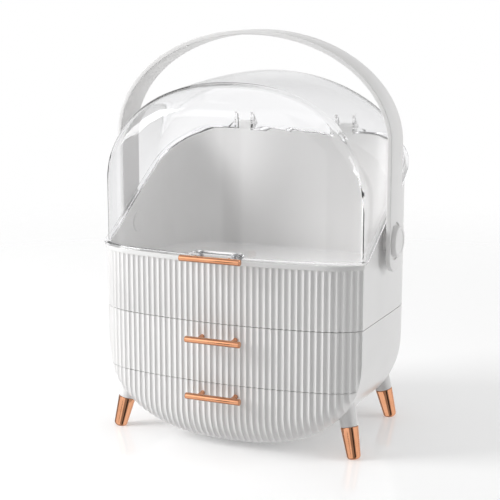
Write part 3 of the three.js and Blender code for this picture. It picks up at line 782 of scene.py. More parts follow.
@dataclass(frozen=True)
class Outline:
    """Outlines of the casing, with insets measured inwards."""

    half_width: float = 140.0
    front: float = -65.0
    rear: float = 111.0
    flare: float = 2.0
    flare_end: float = 30.0
    bow_end: float = math.radians(11.0)
    corner_end: float = math.radians(47.0)
    corner_radius: float = 62.0
    rear_radius: float = 62.0
    belly: float = 4.0
    bowl_top: float = 104.0
    bowl_exponent: float = 2.38
    bowl_end: float = math.radians(88.0)
    rear_fold: float = 45.0
    front_fold: float = 1.3
    lower_seam: float = 70.5
    upper_seam: float = 132.0
    seam_gap: float = 0.5
    floor: float = 172.0
    rim_front: float = 198.0
    rim_rear: float = 305.0
    wall: float = 3.0
    flute_count: int = 45
    flute_depth: float = 1.5
    crest: float = 0.16
    flute_places: tuple[float, ...] = (0, 0.03, 0.07, 0.13, 0.22, 0.35, 0.5, 0.65, 0.78, 0.87, 0.93, 0.97)
    side_steps: int = 6
    corner_steps: int = 20
    bowl_steps: int = 30

    @property
    def bow_radius(self) -> float:
        """Radius of the flat bow in front."""
        bend = math.sin(self.corner_end) - math.sin(self.bow_end)
        return (self.half_width - self.corner_radius * bend) / math.sin(self.bow_end)

    @property
    def corner(self) -> Pair:
        """Centre of the right front corner's bend."""
        x = (self.bow_radius - self.corner_radius) * math.sin(self.bow_end)
        return x, self.front + self.corner_radius * math.cos(self.corner_end)

    def front_y(self, x: float, inset: float = 0.0) -> float:
        """Y of the smooth front at x.

        Args:
            x: the place along X.
            inset: how far inside the casing it lies.

        Returns:
            The Y.
        """
        corner_x, corner_y = self.corner
        radius = self.bow_radius - inset
        if abs(x) < radius * math.sin(self.bow_end):
            centre = corner_y + (self.bow_radius - self.corner_radius) * math.cos(self.bow_end)
            return centre - math.sqrt(radius ** 2 - x ** 2)
        beyond = abs(x) - corner_x
        return corner_y - math.sqrt(max(0.0, (self.corner_radius - inset) ** 2 - beyond ** 2))

    def columns(self) -> list[Column]:
        """Upright lines across the fluted front, from left to right."""
        bow = self.bow_radius * self.bow_end
        length = bow + self.corner_radius * (self.corner_end - self.bow_end)
        pitch = 2 * length / self.flute_count
        places = [(k + u, u) for k in range(self.flute_count) for u in self.flute_places]
        found = []
        for count, u in [*places, (self.flute_count, 0.0)]:
            along = count * pitch - length
            run, side = abs(along), math.copysign(1.0, along)
            hollow = 4 * u * (1 - u)
            share = (math.hypot(hollow, self.crest) - self.crest) / (math.hypot(1, self.crest) - self.crest)
            if run < bow:
                turn = run / self.bow_radius
                x = self.bow_radius * math.sin(turn)
            else:
                turn = self.bow_end + (run - bow) / self.corner_radius
                x = self.corner[0] + self.corner_radius * math.sin(turn)
            found.append(Column(side * x, side * turn, self.flute_depth * share))
        return found

    def side_and_rear(self, inset: float = 0.0) -> list[Pair]:
        """Sides and rear from above, from the right front corner round to the left one.

        Args:
            inset: how far inside the casing it lies.

        Returns:
            The points.
        """
        corner = self.rear_radius
        right = [(self.half_width - inset + self.flare * t, self.front + (self.flare_end - self.front) * t)
                 for t in span(self.side_steps, 0.0, 1.0)]
        return mirrored(right + arc(self.half_width + self.flare - corner, self.rear - corner, corner - inset,
                                    0.0, QUARTER, self.corner_steps))

    def plan(self, inset: float = 0.0, fluted: bool = False) -> list[Pair]:
        """The whole outline from above, front first.

        Args:
            inset: how far inside the casing it lies.
            fluted: whether the front has its channels.

        Returns:
            The points.
        """
        share = (self.half_width - inset) / self.half_width
        front = []
        for column in self.columns():
            x, depth = column.x * share, column.depth if fluted else 0.0
            y = self.front_y(x, inset)
            front.append((x - depth * math.sin(column.turn), y + depth * math.cos(column.turn)))
        return front + self.side_and_rear(inset)[1:-1]

    def bowl_z(self, x: float, inset: float = 0.0) -> float:
        """Height of the bowl's underside at x, seen from the front.

        Args:
            x: the place along X.
            inset: how far inside the casing it lies.

        Returns:
            The height.
        """
        share = clamp(abs(x) / (self.half_width - inset))
        drop = (1 - share ** self.bowl_exponent) ** (1 / self.bowl_exponent)
        return self.bowl_top - (self.bowl_top - self.belly - inset) * drop

    def rim_z(self, y: float) -> float:
        """Height of the upper casing's rim at y."""
        slope = (self.rim_rear - self.rim_front) / (self.rear - self.front)
        return self.rim_front + max(0.0, y - self.front) * slope

    def bowl_section(self, inset: float, top: float) -> list[Pair]:
        """Half widths and heights of the body at its front plane, from the top down.

        Args:
            inset: how far inside the casing it lies.
            top: height of the first pair.

        Returns:
            The pairs.
        """
        reach, power = self.half_width - inset, 2 / self.bowl_exponent
        section = [(reach, top)]
        for t in span(self.bowl_steps, 0.0, self.bowl_end):
            z = self.bowl_top - (self.bowl_top - self.belly - inset) * math.sin(t) ** power
            section.append((reach * math.cos(t) ** power, z))
        return section

    def bowl_rings(self, inset: float, top: float, front_end: float) -> list[Ring]:
        """Rings of the body behind the front plane, from the top down.

        Args:
            inset: how far inside the casing it lies.
            top: height of the first ring.
            front_end: Y of its front face.

        Returns:
            The rings.
        """
        reach = self.half_width - inset
        rings = []
        for width, z in self.bowl_section(inset, top):
            sink = clamp((self.belly + self.rear_fold - z) / (self.rear_fold - inset))
            fold = (self.rear_fold - inset) * (1 - math.sqrt(1 - sink ** 2))
            shorten = 1 - fold / (self.rear - self.front)
            ring = [(x * width / reach, self.front + (y - self.front) * shorten, z)
                    for x, y in self.side_and_rear(inset)]
            ring[0] = (ring[0][0], front_end, z)
            ring[-1] = (ring[-1][0], front_end, z)
            rings.append(ring)
        return rings

    def front_line(self, column: Column, top: float, bottom: float, inset: float, back: float,
                   count: int) -> Ring:
        """One upright line of a drawer front, down and round the fold at the bowl's edge.

        Args:
            column: its place, direction and channel depth.
            top: height where it starts.
            bottom: height where it is cut off, if it gets that far.
            inset: how far inside the casing's outline it lies.
            back: Y where it ends.
            count: number of points.

        Returns:
            The points.
        """
        base = self.front_y(column.x, inset)
        bulge = self.front - base
        rise = self.front_fold * bulge
        start = self.bowl_z(column.x, inset) + rise
        first = math.asin(clamp((start - top) / rise))
        last = min(math.asin(clamp((start - bottom) / rise)), math.acos(clamp((self.front - back) / bulge)))
        path = [(0.0, z) for z in span(count, top, max(start, bottom))] if top > start else []
        if last > first:
            path += [(t, start - rise * math.sin(t)) for t in span(2 * count, first, last)]
        y, z, tilt, fade = even(
            [(base + bulge * (1 - math.cos(t)), z, math.atan2(math.sin(t), self.front_fold * math.cos(t)),
              math.sqrt(max(0.0, math.cos(t)))) for t, z in path], count)
        depth = column.depth * fade
        along = depth * np.cos(tilt)
        return list(zip(column.x - along * math.sin(column.turn), y + along * math.cos(column.turn),
                        z + depth * np.sin(tilt)))


@dataclass(frozen=True)
class Hinge:
    """The lid's hinge line and the size of its knuckles and ears."""

    x: float = 58.75
    y: float = 113.4
    z: float = 310.0
    knuckle_length: float = 16.0
    radius: float = 3.6
    gap: float = 0.5


# Sub-assemblies


@dataclass
class Casing:
    """The fixed casings: fluted upper one with its compartment, and the bowl below."""

    outline: Outline
    hinge: Hinge
    floor_thickness: float = 2.5
    band_height: float = 5.0
    band_proud: float = 1.0
    edge: float = 0.5
    fillet: float = 2.5
    web_drop: float = 13.0
    web_inset: float = 0.4

    def upper(self) -> Piece:
        """Fluted band, sides, rim and compartment floor, in one skin, and returns it."""
        outline, edge, soft = self.outline, self.edge, self.edge * EASE
        proud, wall, band = -self.band_proud, outline.wall, self.band_height
        bottom = outline.upper_seam + outline.seam_gap / 2

        def level(inset: float, z: float, fluted: bool = False) -> Ring:
            """A ring at one height."""
            return [(x, y, z) for x, y in outline.plan(inset, fluted)]

        def below_rim(inset: float, drop: float, fluted: bool = False) -> Ring:
            """A ring that keeps a drop below the sloping rim."""
            return [(x, y, outline.rim_z(y) - drop) for x, y in outline.plan(inset, fluted)]

        rings = [
            level(wall, outline.floor - self.floor_thickness), level(wall, bottom + edge),
            level(wall - edge, bottom), level(edge, bottom, True), level(soft, bottom + soft, True),
            level(0, bottom + edge, True),
            below_rim(0, band + edge, True), below_rim(0, band), below_rim(proud + soft, band),
            below_rim(proud, band - edge), below_rim(proud, edge), below_rim(proud + soft, soft),
            below_rim(proud + edge, 0), below_rim(wall - edge, 0), below_rim(wall - soft, soft),
            below_rim(wall, edge),
        ]
        foot = arc(wall + self.fillet, outline.floor + self.fillet, self.fillet, math.pi, 3 * QUARTER,
                   steps=5)
        return loft("Upper_casing_shell", rings + [level(inset, z) for inset, z in foot])

    def knuckle(self, side: Side) -> Piece:
        """One hinge knuckle with its web.

        Args:
            side: which of the two.

        Returns:
            The piece.
        """
        hinge, edge = self.hinge, self.edge
        middle, half, radius = side.value * hinge.x, hinge.knuckle_length / 2, hinge.radius
        profile = [(0.0, -half), (radius - edge, -half), (radius, edge - half), (radius, half - edge),
                   (radius - edge, half), (0.0, half)]
        barrel = lathe("Knuckle", profile, turned_to((middle, hinge.y, hinge.z), QUARTER, "Y"), THIN)
        inside, low = self.outline.rear - self.outline.wall + edge, hinge.z - self.web_drop
        web = [(inside, low), (self.outline.rear - edge, low),
               (hinge.y + radius - self.web_inset, hinge.z - self.web_inset), (inside, hinge.z)]
        return combine(barrel, Cut.JOIN, prism("Web", web, middle - half, middle + half, "x"))

    def lower(self) -> Piece:
        """The bowl behind the drawer fronts, and returns it."""
        outline = self.outline
        top = outline.upper_seam - outline.seam_gap / 2
        outer = loft("Lower_casing_shell", outline.bowl_rings(0.0, top, outline.front))
        room = loft("Room", outline.bowl_rings(outline.wall, top + OVERRUN, outline.front - OVERRUN))
        return combine(outer, Cut.TAKE, room)

    def build(self, finishes: Finishes) -> None:
        """Builds both casings and dresses them.

        Args:
            finishes: the materials.
        """
        upper = combine(self.upper(), Cut.JOIN, *(self.knuckle(side) for side in Side))
        finishes.dress(upper, Slot.WHITE, Body.CASE, "upper_casing")
        finishes.dress(self.lower(), Slot.WHITE, Body.CASE, "lower_casing")
        log.info("casings: upper with %d faces", len(upper.data.polygons))


@dataclass
class PullBar:
    """A round bar with softened ends on two posts that end in a flange."""

    name: str
    node: str
    body: Body
    radius: float
    length: float
    y: float
    z: float
    seat: float
    edge: float = 1.0
    post_radius: float = 1.9
    post_x: float = 18.0
    flange: float = 0.5
    flange_height: float = 0.9
    flange_edge: float = 0.2
    blend: float = 0.7

    def build(self, finishes: Finishes) -> None:
        """Builds the bar with its posts and dresses it.

        Args:
            finishes: the materials.
        """
        end = [(0.0, self.length / 2), *arc(self.radius - self.edge, self.length / 2 - self.edge, self.edge,
                                            QUARTER, 0.0, steps=8)]
        profile = [(r, -h) for r, h in end] + [(r, h) for r, h in reversed(end)]
        bar = lathe(self.name, profile, turned_to((0.0, self.y, self.z), QUARTER, "Y"))
        depth, w, wide = self.seat - self.y, self.post_radius, self.post_radius + self.flange
        neck, soft = depth - self.flange_height, self.flange_edge
        side = [(0.0, 0.0), (w, 0.0), (w, neck - self.blend), (w + self.flange * EASE, neck - soft),
                (wide, neck), (wide, depth - soft), (wide - soft, depth), (0.0, depth)]
        posts = [lathe("Post", side, turned_to((x, self.y, self.z), -QUARTER, "X"), THIN)
                 for x in (-self.post_x, self.post_x)]
        combine(bar, Cut.JOIN, *posts)
        finishes.dress(bar, Slot.COPPER, self.body, self.node)


@dataclass
class Drawer:
    """A fluted front cover on a tray, with its pull bar."""

    outline: Outline
    name: str
    body: Body
    top: float
    bottom: float
    tray_bottom: float
    tray_top: float
    pull_z: float
    rows: int
    end: float
    crease: float = 50.0
    hollow_steps: int = 80
    pull_radius: float = 3.25
    pull_length: float = 59.5
    pull_reach: float = 18.0
    pull_sink: float = 0.6
    tray_wall: float = 2.0
    slide_gap: float = 0.5
    rear_gap: float = 4.0

    def cover(self) -> Piece:
        """The fluted front cover, hollow behind, and returns it."""
        outline, wall = self.outline, self.outline.wall
        back, inner = outline.front - SEAT_GAP, outline.front + wall
        lines = []
        for column in outline.columns():
            if abs(column.x) < self.end:
                line = outline.front_line(column, self.top, self.bottom, 0.0, back, self.rows)
                lines.append([(line[0][0], back, self.top), *line])
        outer = loft(f"{self.name}_cover", lines, crease=self.crease)
        top, bottom = self.top - wall, self.bottom + wall
        hollow = []
        for x in span(self.hollow_steps, -self.end + 2 * wall, self.end - 2 * wall):
            line = outline.front_line(Column(x), top, bottom, wall, inner, self.rows)
            hollow.append([(x, inner, top), *line, (x, inner, line[-1][2])])
        return combine(outer, Cut.TAKE, loft("Hollow", hollow), crease=self.crease)

    def tray_solid(self, name: str, extra: float, bottom: float, top: float) -> Piece:
        """The space that the tray fills and that passes through the casing's front.

        Args:
            name: the object's name.
            extra: how far it is set in from the tray's outer faces.
            bottom: height of its lower face.
            top: height of its upper face.

        Returns:
            The solid.
        """
        outline = self.outline
        inset, high = outline.wall + self.slide_gap + extra, outline.upper_seam + OVERRUN
        front, rear = outline.front + extra, outline.rear - outline.wall - self.rear_gap - extra
        solid = loft(name, outline.bowl_rings(inset, high, front))
        passage = prism("Passage", mirrored(outline.bowl_section(inset, high)), -FAR, FAR, "y")
        return combine(solid, Cut.KEEP, passage, block((-FAR, FAR), (front, rear), (bottom, top)))

    def tray(self) -> Piece:
        """The tray behind the cover, and returns it."""
        wall, low, high = self.tray_wall, self.tray_bottom, self.tray_top
        tray = self.tray_solid(f"{self.name}_box", 0.0, low, high)
        return combine(tray, Cut.TAKE, self.tray_solid("Room", wall, low + wall, high + OVERRUN))

    def build(self, finishes: Finishes) -> None:
        """Builds cover, tray and bar and dresses them.

        Args:
            finishes: the materials.
        """
        node = self.body.value
        finishes.dress(self.cover(), Slot.WHITE, self.body, f"{node}_front")
        finishes.dress(self.tray(), Slot.WHITE, self.body, f"{node}_tray")
        bar_y = self.outline.front_y(0.0) - self.pull_reach + self.pull_radius
        seat = self.outline.front_y(PullBar.post_x) + self.pull_sink
        PullBar(f"{self.name}_bar", f"{node}_pull", self.body, self.pull_radius, self.pull_length, bar_y,
                self.pull_z, seat).build(finishes)
        log.info("%s: cover, tray and bar", self.name)


@dataclass
class Lid:
    """The clear dust lid: bowed face, crowned dome, flange, pad and hinge ears."""

    outline: Outline
    hinge: Hinge
    wall: float = 2.2
    inset: float = 0.6
    lift: float = SEAT_GAP
    wall_top: float = 247.0
    arch_top: float = 367.0
    crown_top: float = 375.0
    crown_y: float = 45.0
    crown_rear: float = 317.0
    arch_exponent: float = 2.3
    crown_exponent: float = 2.0
    face_fold: float = 1.25
    fold_end: float = math.radians(62.0)
    flat: float = 0.02
    flange_reach: float = 4.0
    flange_thickness: float = 2.5
    flange_edge: float = 0.5
    corner_round: float = 6.0
    crease: float = 24.0
    face_columns: int = 72
    face_rows: int = 26
    fold_steps: int = 40
    front_stations: int = 14
    rear_stations: int = 26
    pull_radius: float = 3.15
    pull_length: float = 65.2
    pull_front: float = -117.0
    pull_z: float = 200.3
    pad_length: float = 54.0
    pad_reach: float = 14.0
    pad_top: float = 205.0
    pad_edge: float = 1.2
    ear_thickness: float = 2.5
    ear_root: float = 103.0
    ear_top: float = 323.0

    def arch_z(self, x: float, inset: float) -> float:
        """Height of the arch that frames the face.

        Args:
            x: the place along X.
            inset: how far inside the casing it lies.

        Returns:
            The height.
        """
        share = clamp(abs(x) / (self.outline.half_width - inset))
        return self.wall_top + (self.arch_top - inset - self.wall_top) * (
            1 - share ** self.arch_exponent) ** (1 / self.arch_exponent)

    def face_y(self, x: float, inset: float) -> float:
        """Y of the face at x, with its corner to the side rounded off.

        Args:
            x: the place along X.
            inset: how far inside the casing it lies.

        Returns:
            The Y.
        """
        outline = self.outline
        corner_x, corner_y = outline.corner
        radius = self.corner_round - (inset - self.inset)
        middle_x = outline.half_width - inset - radius
        reach = outline.corner_radius - inset - radius
        middle_y = corner_y - math.sqrt(reach ** 2 - (middle_x - corner_x) ** 2)
        start = corner_x + (middle_x - corner_x) * (outline.corner_radius - inset) / reach
        if abs(x) < start:
            return outline.front_y(x, inset)
        return middle_y - math.sqrt(max(0.0, radius ** 2 - (abs(x) - middle_x) ** 2))

    def turns_across(self) -> list[float]:
        """Angles of the arch's stations, from the left side over to the right."""
        return span(self.face_columns, math.pi, 0.0)

    @staticmethod
    def station(turn: float, exponent: float) -> Pair:
        """Width and height shares of a station on an arch."""
        across = math.copysign(abs(math.cos(turn)) ** (2 / exponent), math.cos(turn))
        return across, abs(math.sin(turn)) ** (2 / exponent)

    def face_line(self, turn: float, inset: float, lift: float) -> Ring:
        """One upright line of the face, from the rim up and round the fold to the arch.

        Args:
            turn: angle of the station on the arch.
            inset: how far inside the outline it lies.
            lift: how far above the rim it starts.

        Returns:
            The points.
        """
        outline = self.outline
        x = self.station(turn, self.arch_exponent)[0] * (outline.half_width - inset)
        low, edge = outline.rim_front + lift, self.arch_z(x, inset)
        base = self.face_y(x, inset)
        bulge = outline.front - base
        if bulge < self.flat:
            return [(x, base, z) for z in span(self.face_rows - 1, low, edge)]
        rise = self.face_fold * bulge / math.sin(self.fold_end)
        push = bulge / (1 - math.cos(self.fold_end))
        start = edge - self.face_fold * bulge
        first = math.asin(clamp((low - start) / rise))
        path = [(base, z) for z in span(self.fold_steps, low, start)] if start > low else []
        path += [(base + push * (1 - math.cos(t)), start + rise * math.sin(t))
                 for t in span(self.fold_steps, first, self.fold_end)]
        return [(x, y, z) for y, z in zip(*even(path, self.face_rows))]

    def dome_ring(self, y: float, inset: float, lift: float) -> Ring:
        """The dome's cross-section at y, from the left rim over to the right one.

        Args:
            y: where it is.
            inset: how far inside the outline it lies.
            lift: how far above the rim it starts.

        Returns:
            The points.
        """
        outline = self.outline
        share = (y - outline.front) / (outline.rear - outline.front)
        ahead = clamp((self.crown_y - y) / (self.crown_y - outline.front))
        start = self.wall_top + (outline.rim_rear - self.wall_top) * share ** 2
        crown = self.crown_top - (self.crown_top - self.arch_top) * ahead ** 2
        if y > self.crown_y:
            behind = (y - self.crown_y) / (outline.rear - inset - self.crown_y)
            drop = self.crown_top - self.crown_rear
            crown = self.crown_rear + drop * math.sqrt(max(0.0, 1 - behind ** 2))
        exponent = self.crown_exponent + (self.arch_exponent - self.crown_exponent) * ahead
        past = clamp(y - (outline.rear - outline.rear_radius), 0.0, outline.rear_radius - inset)
        flare = outline.flare * clamp((y - outline.front) / (outline.flare_end - outline.front))
        width = (outline.half_width + flare - outline.rear_radius
                 + math.sqrt((outline.rear_radius - inset) ** 2 - past ** 2))
        arch = []
        for turn in self.turns_across():
            across, up = self.station(turn, exponent)
            arch.append((width * across, y, start + (crown - inset - start) * up))
        left = [(-width, y, z) for z in span(self.face_rows - 1, outline.rim_z(y) + lift, start)]
        return left + arch[1:-1] + [(-x, b, z) for x, b, z in reversed(left)]

    def skin(self, inset: float, lift: float) -> tuple[list[Ring], list[Ring]]:
        """The face's lines and the dome's rings for one side of the wall.

        Args:
            inset: how far inside the casing it lies.
            lift: how far above the rim it starts.

        Returns:
            Lines and rings.
        """
        outline = self.outline
        face = [self.face_line(turn, inset, lift) for turn in self.turns_across()]
        stations = span(self.front_stations, outline.front, self.crown_y)[1:]
        stations += [self.crown_y + (outline.rear - inset - self.crown_y) * math.sin(t)
                     for t in span(self.rear_stations, 0.0, QUARTER)][1:]
        return face, [self.dome_ring(y, inset, lift) for y in stations]

    def shell(self) -> Piece:
        """Outer and inner skins joined round the rim with the flange, and returns the piece."""
        points: list[Point] = []
        faces: list[tuple[int, ...]] = []
        loops = []
        size, rows, thick = self.face_columns + 1, self.face_rows, self.flange_thickness
        for inset, lift in ((self.inset, self.lift + thick), (self.inset + self.wall, self.lift)):
            face, rings = self.skin(inset, lift)
            start = len(points)
            points += [p for line in face for p in line]
            faces += loft_faces(size, rows, closed=False, start=start)
            front = [start + i * rows for i in range(size)]
            edge = [front[0] + k for k in range(rows)] + [i + rows - 1 for i in front[1:-1]]
            edge += [front[-1] + k for k in reversed(range(rows))]
            left, right = [], []
            for ring in rings:
                fresh = list(range(len(points), len(points) + len(ring)))
                points += ring
                faces += strip(edge, fresh)
                edge = fresh
                left.append(fresh[0])
                right.append(fresh[-1])
            faces.append(tuple(edge))
            loops.append(front + right + left[::-1])
        outer, loop = loops
        place = np.array([points[i] for i in outer])
        ahead = np.roll(place, -1, axis=0) - np.roll(place, 1, axis=0)
        out = np.stack([ahead[:, 1], -ahead[:, 0]], axis=1)
        out /= np.linalg.norm(out, axis=1, keepdims=True)
        reach, corner, soft = self.flange_reach + self.inset, self.flange_edge, self.flange_edge * EASE
        for away, up in ((reach - corner, 0.0), (reach - soft, soft), (reach, corner),
                         (reach, thick - corner), (reach - soft, thick - soft), (reach - corner, thick)):
            fresh = list(range(len(points), len(points) + len(place)))
            points += [(x + nx * away, y + ny * away, self.outline.rim_z(y + ny * away) + self.lift + up)
                       for (x, y, _), (nx, ny) in zip(place, out)]
            faces += strip(loop, fresh, closed=True)
            loop = fresh
        faces += strip(loop, outer, closed=True)
        return mesh_object("Dust_lid", points, faces, self.crease)

    def pad(self) -> Piece:
        """The round-ended pad that carries the bar, and returns it."""
        front, edge = self.outline.front_y(0.0, self.inset), self.pad_edge
        low = self.outline.rim_front + self.lift
        radius, middle = (self.pad_top - low) / 2, (self.pad_top + low) / 2
        reach = self.pad_length / 2 - radius
        rings = arc(edge, front - self.pad_reach + edge, edge, -QUARTER, -math.pi, steps=5)
        rings.append((0.0, front + self.wall / 2))
        made = []
        for slim, y in rings:
            right = arc(reach, middle, radius - slim, -QUARTER, QUARTER)
            made.append([(x, y, z) for x, z in mirrored(right)])
        return loft("Pad", made)

    def ear(self, x: float) -> Piece:
        """One hinge ear.

        Args:
            x: its middle.

        Returns:
            The piece.
        """
        low = self.outline.rim_z(self.ear_root) + self.flange_thickness + self.lift
        disc = arc(self.hinge.y, self.hinge.z, self.hinge.radius, -QUARTER, QUARTER)
        side, half = [(self.ear_root, low), *disc, (self.ear_root, self.ear_top)], self.ear_thickness / 2
        return prism("Ear", side, x - half, x + half, "x")

    def build(self, finishes: Finishes) -> None:
        """Builds the lid and its bar and dresses them.

        Args:
            finishes: the materials.
        """
        outline, hinge = self.outline, self.hinge
        half = hinge.knuckle_length / 2 + hinge.gap
        centres = [side.value * hinge.x for side in Side]
        lid = self.shell()
        tools = [block((-FAR, FAR), (outline.rear, FAR), (0.0, self.crown_top))]
        tools += [block((x - half, x + half), (outline.rear - OVERRUN, outline.rear + OVERRUN),
                        (outline.rim_front, hinge.z + hinge.radius + hinge.gap)) for x in centres]
        combine(lid, Cut.TAKE, *tools, crease=self.crease)
        away = half + self.ear_thickness / 2
        ears = [self.ear(x + way * away) for x in centres for way in (-1, 1)]
        combine(lid, Cut.JOIN, self.pad(), *ears, crease=self.crease)
        finishes.dress(lid, Slot.CLEAR, Body.LID, "lid")
        seat = outline.front_y(0.0, self.inset) - self.pad_reach
        PullBar("Lid_bar", "lid_pull", Body.LID, self.pull_radius, self.pull_length,
                self.pull_front + self.pull_radius, self.pull_z, seat).build(finishes)
        log.info("lid: %d faces", len(lid.data.polygons))


@dataclass
class Handle:
    """The carry handle with its pivots and knobs."""

    width: float = 37.0
    thickness: float = 4.5
    reach: float = 151.5
    straight_z: float = 307.0
    top: float = 417.0
    bottom: float = 180.0
    pivot_z: float = 210.7
    soft: float = 0.7
    soft_share: float = 0.6
    tip_start: float = math.radians(4.0)
    slot_radius: float = 16.1
    slot_height: float = 38.0
    slot_depth: float = 2.0
    bore: float = 7.4
    pivot_radius: float = 7.0
    pivot_edge: float = 0.4
    shoulder: float = 11.0
    case_side: float = 137.0
    knob_radius: float = 15.5
    knob_thickness: float = 6.5
    knob_edge: float = 1.5
    knob_foot: float = 0.3
    knob_rim: float = 2.5
    knob_step: tuple[Pair, ...] = ((1.0, 0.0), (0.6, 0.12), (0.2, 0.5), (-0.2, 0.8), (-0.8, 0.85))
    knob_swell: float = 0.35
    tip_steps: int = 12
    side_steps: int = 8
    arch_steps: int = 96

    def path(self) -> list[tuple[float, float, float, float, float]]:
        """Stations along the band: x, z, outward x, outward z and half width, from right to left."""
        middle, half = self.reach - self.thickness / 2, self.width / 2
        side = [(middle, self.bottom + half * (1 - math.cos(t)), 1.0, 0.0, half * math.sin(t))
                for t in span(self.tip_steps, self.tip_start, QUARTER)]
        side += [(middle, z, 1.0, 0.0, half)
                 for z in span(self.side_steps, self.bottom + half, self.straight_z)[1:-1]]
        rise = self.top - self.straight_z
        arch = []
        for t in span(self.arch_steps, 0.0, math.pi):
            nx, nz = math.cos(t) / self.reach, math.sin(t) / rise
            size = math.hypot(nx, nz)
            nx, nz = nx / size, nz / size
            arch.append((self.reach * math.cos(t) - nx * self.thickness / 2,
                         self.straight_z + rise * math.sin(t) - nz * self.thickness / 2, nx, nz, half))
        return side + arch + [(-x, z, -nx, nz, h) for x, z, nx, nz, h in reversed(side)]

    def band(self) -> Piece:
        """The bent band with rounded edges, recesses and bores, and returns it."""
        half = self.thickness / 2
        rings = []
        for x, z, nx, nz, wide in self.path():
            r = min(self.soft, wide * self.soft_share)
            section = arc(wide - r, half - r, r, QUARTER, 0.0, steps=4)
            ring = mirrored(section + [(u, -v) for u, v in reversed(section)])
            rings.append([(x + nx * v, u, z + nz * v) for u, v in ring])
        bore = arc(0.0, self.pivot_z, self.bore, 0.0, 2 * math.pi, THIN)[:-1]
        r, tall = self.slot_radius, self.slot_height / 2 - self.slot_radius
        slot = arc(0.0, self.pivot_z + tall, r, 0.0, math.pi)
        slot += arc(0.0, self.pivot_z - tall, r, math.pi, 2 * math.pi)
        floor = self.reach - self.slot_depth
        tools = [prism("Bore", bore, -FAR, FAR, "x"), prism("Recess", slot, floor, FAR, "x"),
                 prism("Recess", slot, -FAR, -floor, "x")]
        return combine(loft("Carry_handle", rings), Cut.TAKE, *tools)

    def pivot(self) -> list[Pair]:
        """Profile of a pivot, with heights measured from the organizer's middle."""
        seat, inner = self.reach - self.slot_depth, self.reach - self.thickness - SEAT_GAP
        wide, edge = self.shoulder, self.pivot_edge
        return [(0.0, self.case_side), (wide, self.case_side), (wide, inner - edge), (wide - edge, inner),
                (self.pivot_radius, inner), (self.pivot_radius, seat), (0.0, seat)]

    def knob(self) -> list[Pair]:
        """Profile of a knob with its dished face, with heights measured from the organizer's middle."""
        r, edge, foot = self.knob_radius, self.knob_edge, self.knob_foot
        low = self.reach - self.slot_depth + SEAT_GAP
        top, dish = low + self.knob_thickness, r - edge - self.knob_rim
        side = [(0.0, low), (r - foot, low), (r, low + foot)]
        side += arc(r - edge, top - edge, edge, 0.0, QUARTER, steps=8)
        side += [(dish + out, top - down) for out, down in self.knob_step]
        deepest = side[-1][1]
        return side + [(dish * s, deepest + self.knob_swell * (1 - s * s)) for s in span(4, 0.8, 0.0)]

    def build(self, finishes: Finishes) -> None:
        """Builds the band, pivots and knobs and dresses them.

        Args:
            finishes: the materials.
        """
        finishes.dress(self.band(), Slot.WHITE, Body.HANDLE, "handle")
        for side in Side:
            place = turned_to((0.0, 0.0, self.pivot_z), side.value * QUARTER, "Y")
            for kind, profile in (("Pivot", self.pivot()), ("Knob", self.knob())):
                name = f"{kind}_{side.name.lower()}"
                piece = lathe(name, profile, place, WIDE)
                finishes.dress(piece, Slot.WHITE, Body.CASE, f"handle_{name.lower()}")
        log.info("handle: band, pivots and knobs")


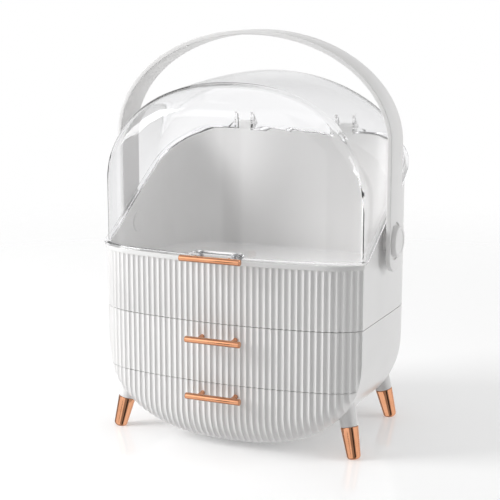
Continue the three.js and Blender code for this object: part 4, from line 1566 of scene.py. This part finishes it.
@dataclass
class Leg:
    """A splayed leg: a white neck under the casing and a plated ferrule on its lower end."""

    outline: Outline
    side: Side
    end: str
    foot_x: float
    foot_y: float
    lean_x: float = math.radians(12.3)
    lean_y: float = math.radians(7.3)
    trim: float = 0.6
    ferrule_top: float = 32.8
    ferrule_edge: float = 0.5
    top_radius: float = 9.0
    foot_radius: float = 7.1
    foot_round: float = 4.0
    neck_length: float = 34.0
    neck_growth: float = 0.4
    neck_edge: float = 0.4

    def build(self, finishes: Finishes) -> None:
        """Builds neck and ferrule and dresses them.

        Args:
            finishes: the materials.
        """
        outline, sign, name = self.outline, self.side.value, f"{self.end}_{self.side.name.lower()}"
        lean = Euler((math.copysign(self.lean_y, self.foot_y), -sign * self.lean_x, 0.0), "ZYX")
        place = Matrix.Translation((sign * self.foot_x, self.foot_y, -self.trim)) @ lean.to_matrix().to_4x4()
        r, top, edge, soft = self.top_radius, self.ferrule_top, self.ferrule_edge, self.ferrule_edge * EASE
        tip = arc(self.foot_radius - self.foot_round, self.foot_round, self.foot_round, -QUARTER, 0.0,
                  steps=10)
        ferrule = [(0.0, 0.0), *tip, (r, top - edge), (r - soft, top - soft), (r - edge, top), (0.0, top)]
        shoe = lathe(f"Ferrule_{name}", ferrule, place, WIDE)
        combine(shoe, Cut.TAKE, block((-FAR, FAR), (-FAR, FAR), (-FAR, 0.0)))
        finishes.dress(shoe, Slot.COPPER, Body.CASE, f"leg_ferrule_{name}")
        low, edge = top + SEAT_GAP, self.neck_edge
        high = low + self.neck_length
        neck = [(0.0, low), (r - edge, low), (r, low + edge), (r + self.neck_growth, high), (0.0, high)]
        stem = lathe(f"Leg_{name}", neck, place, WIDE)
        case = loft("Case", outline.bowl_rings(0.0, outline.upper_seam, outline.front - SEAT_GAP))
        combine(stem, Cut.TAKE, case)
        finishes.dress(stem, Slot.WHITE, Body.CASE, f"leg_{name}")


def main() -> None:
    """Builds the studio and every sub-assembly."""
    logging.basicConfig(level=logging.INFO, format="%(message)s")
    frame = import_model()
    Studio().build()
    finishes = Finishes()
    for entry in frame["record"]["subparts"]:
        finishes.dress_node(frame["nodes"][entry["node"]], Slot(entry["material_slot"]))
    log.info("nodes dressed: %d", len(frame["nodes"]))
    outline, hinge = Outline(), Hinge()
    Casing(outline, hinge).build(finishes)
    gap = outline.seam_gap / 2
    Drawer(outline, "Upper_drawer", Body.UPPER_DRAWER, top=outline.upper_seam - gap,
           bottom=outline.lower_seam + gap, tray_bottom=72.05, tray_top=125.5, pull_z=117.5, rows=14,
           end=139.2).build(finishes)
    Drawer(outline, "Lower_drawer", Body.LOWER_DRAWER, top=outline.lower_seam - gap, bottom=0.0,
           tray_bottom=outline.belly, tray_top=66.5, pull_z=59.3, rows=26, end=135.2).build(finishes)
    Lid(outline, hinge).build(finishes)
    Handle().build(finishes)
    for side in Side:
        Leg(outline, side, "front", foot_x=132.0, foot_y=-60.0).build(finishes)
        Leg(outline, side, "rear", foot_x=124.5, foot_y=83.5).build(finishes)
    log.info("legs: four")


if __name__ == "__main__":
    main()
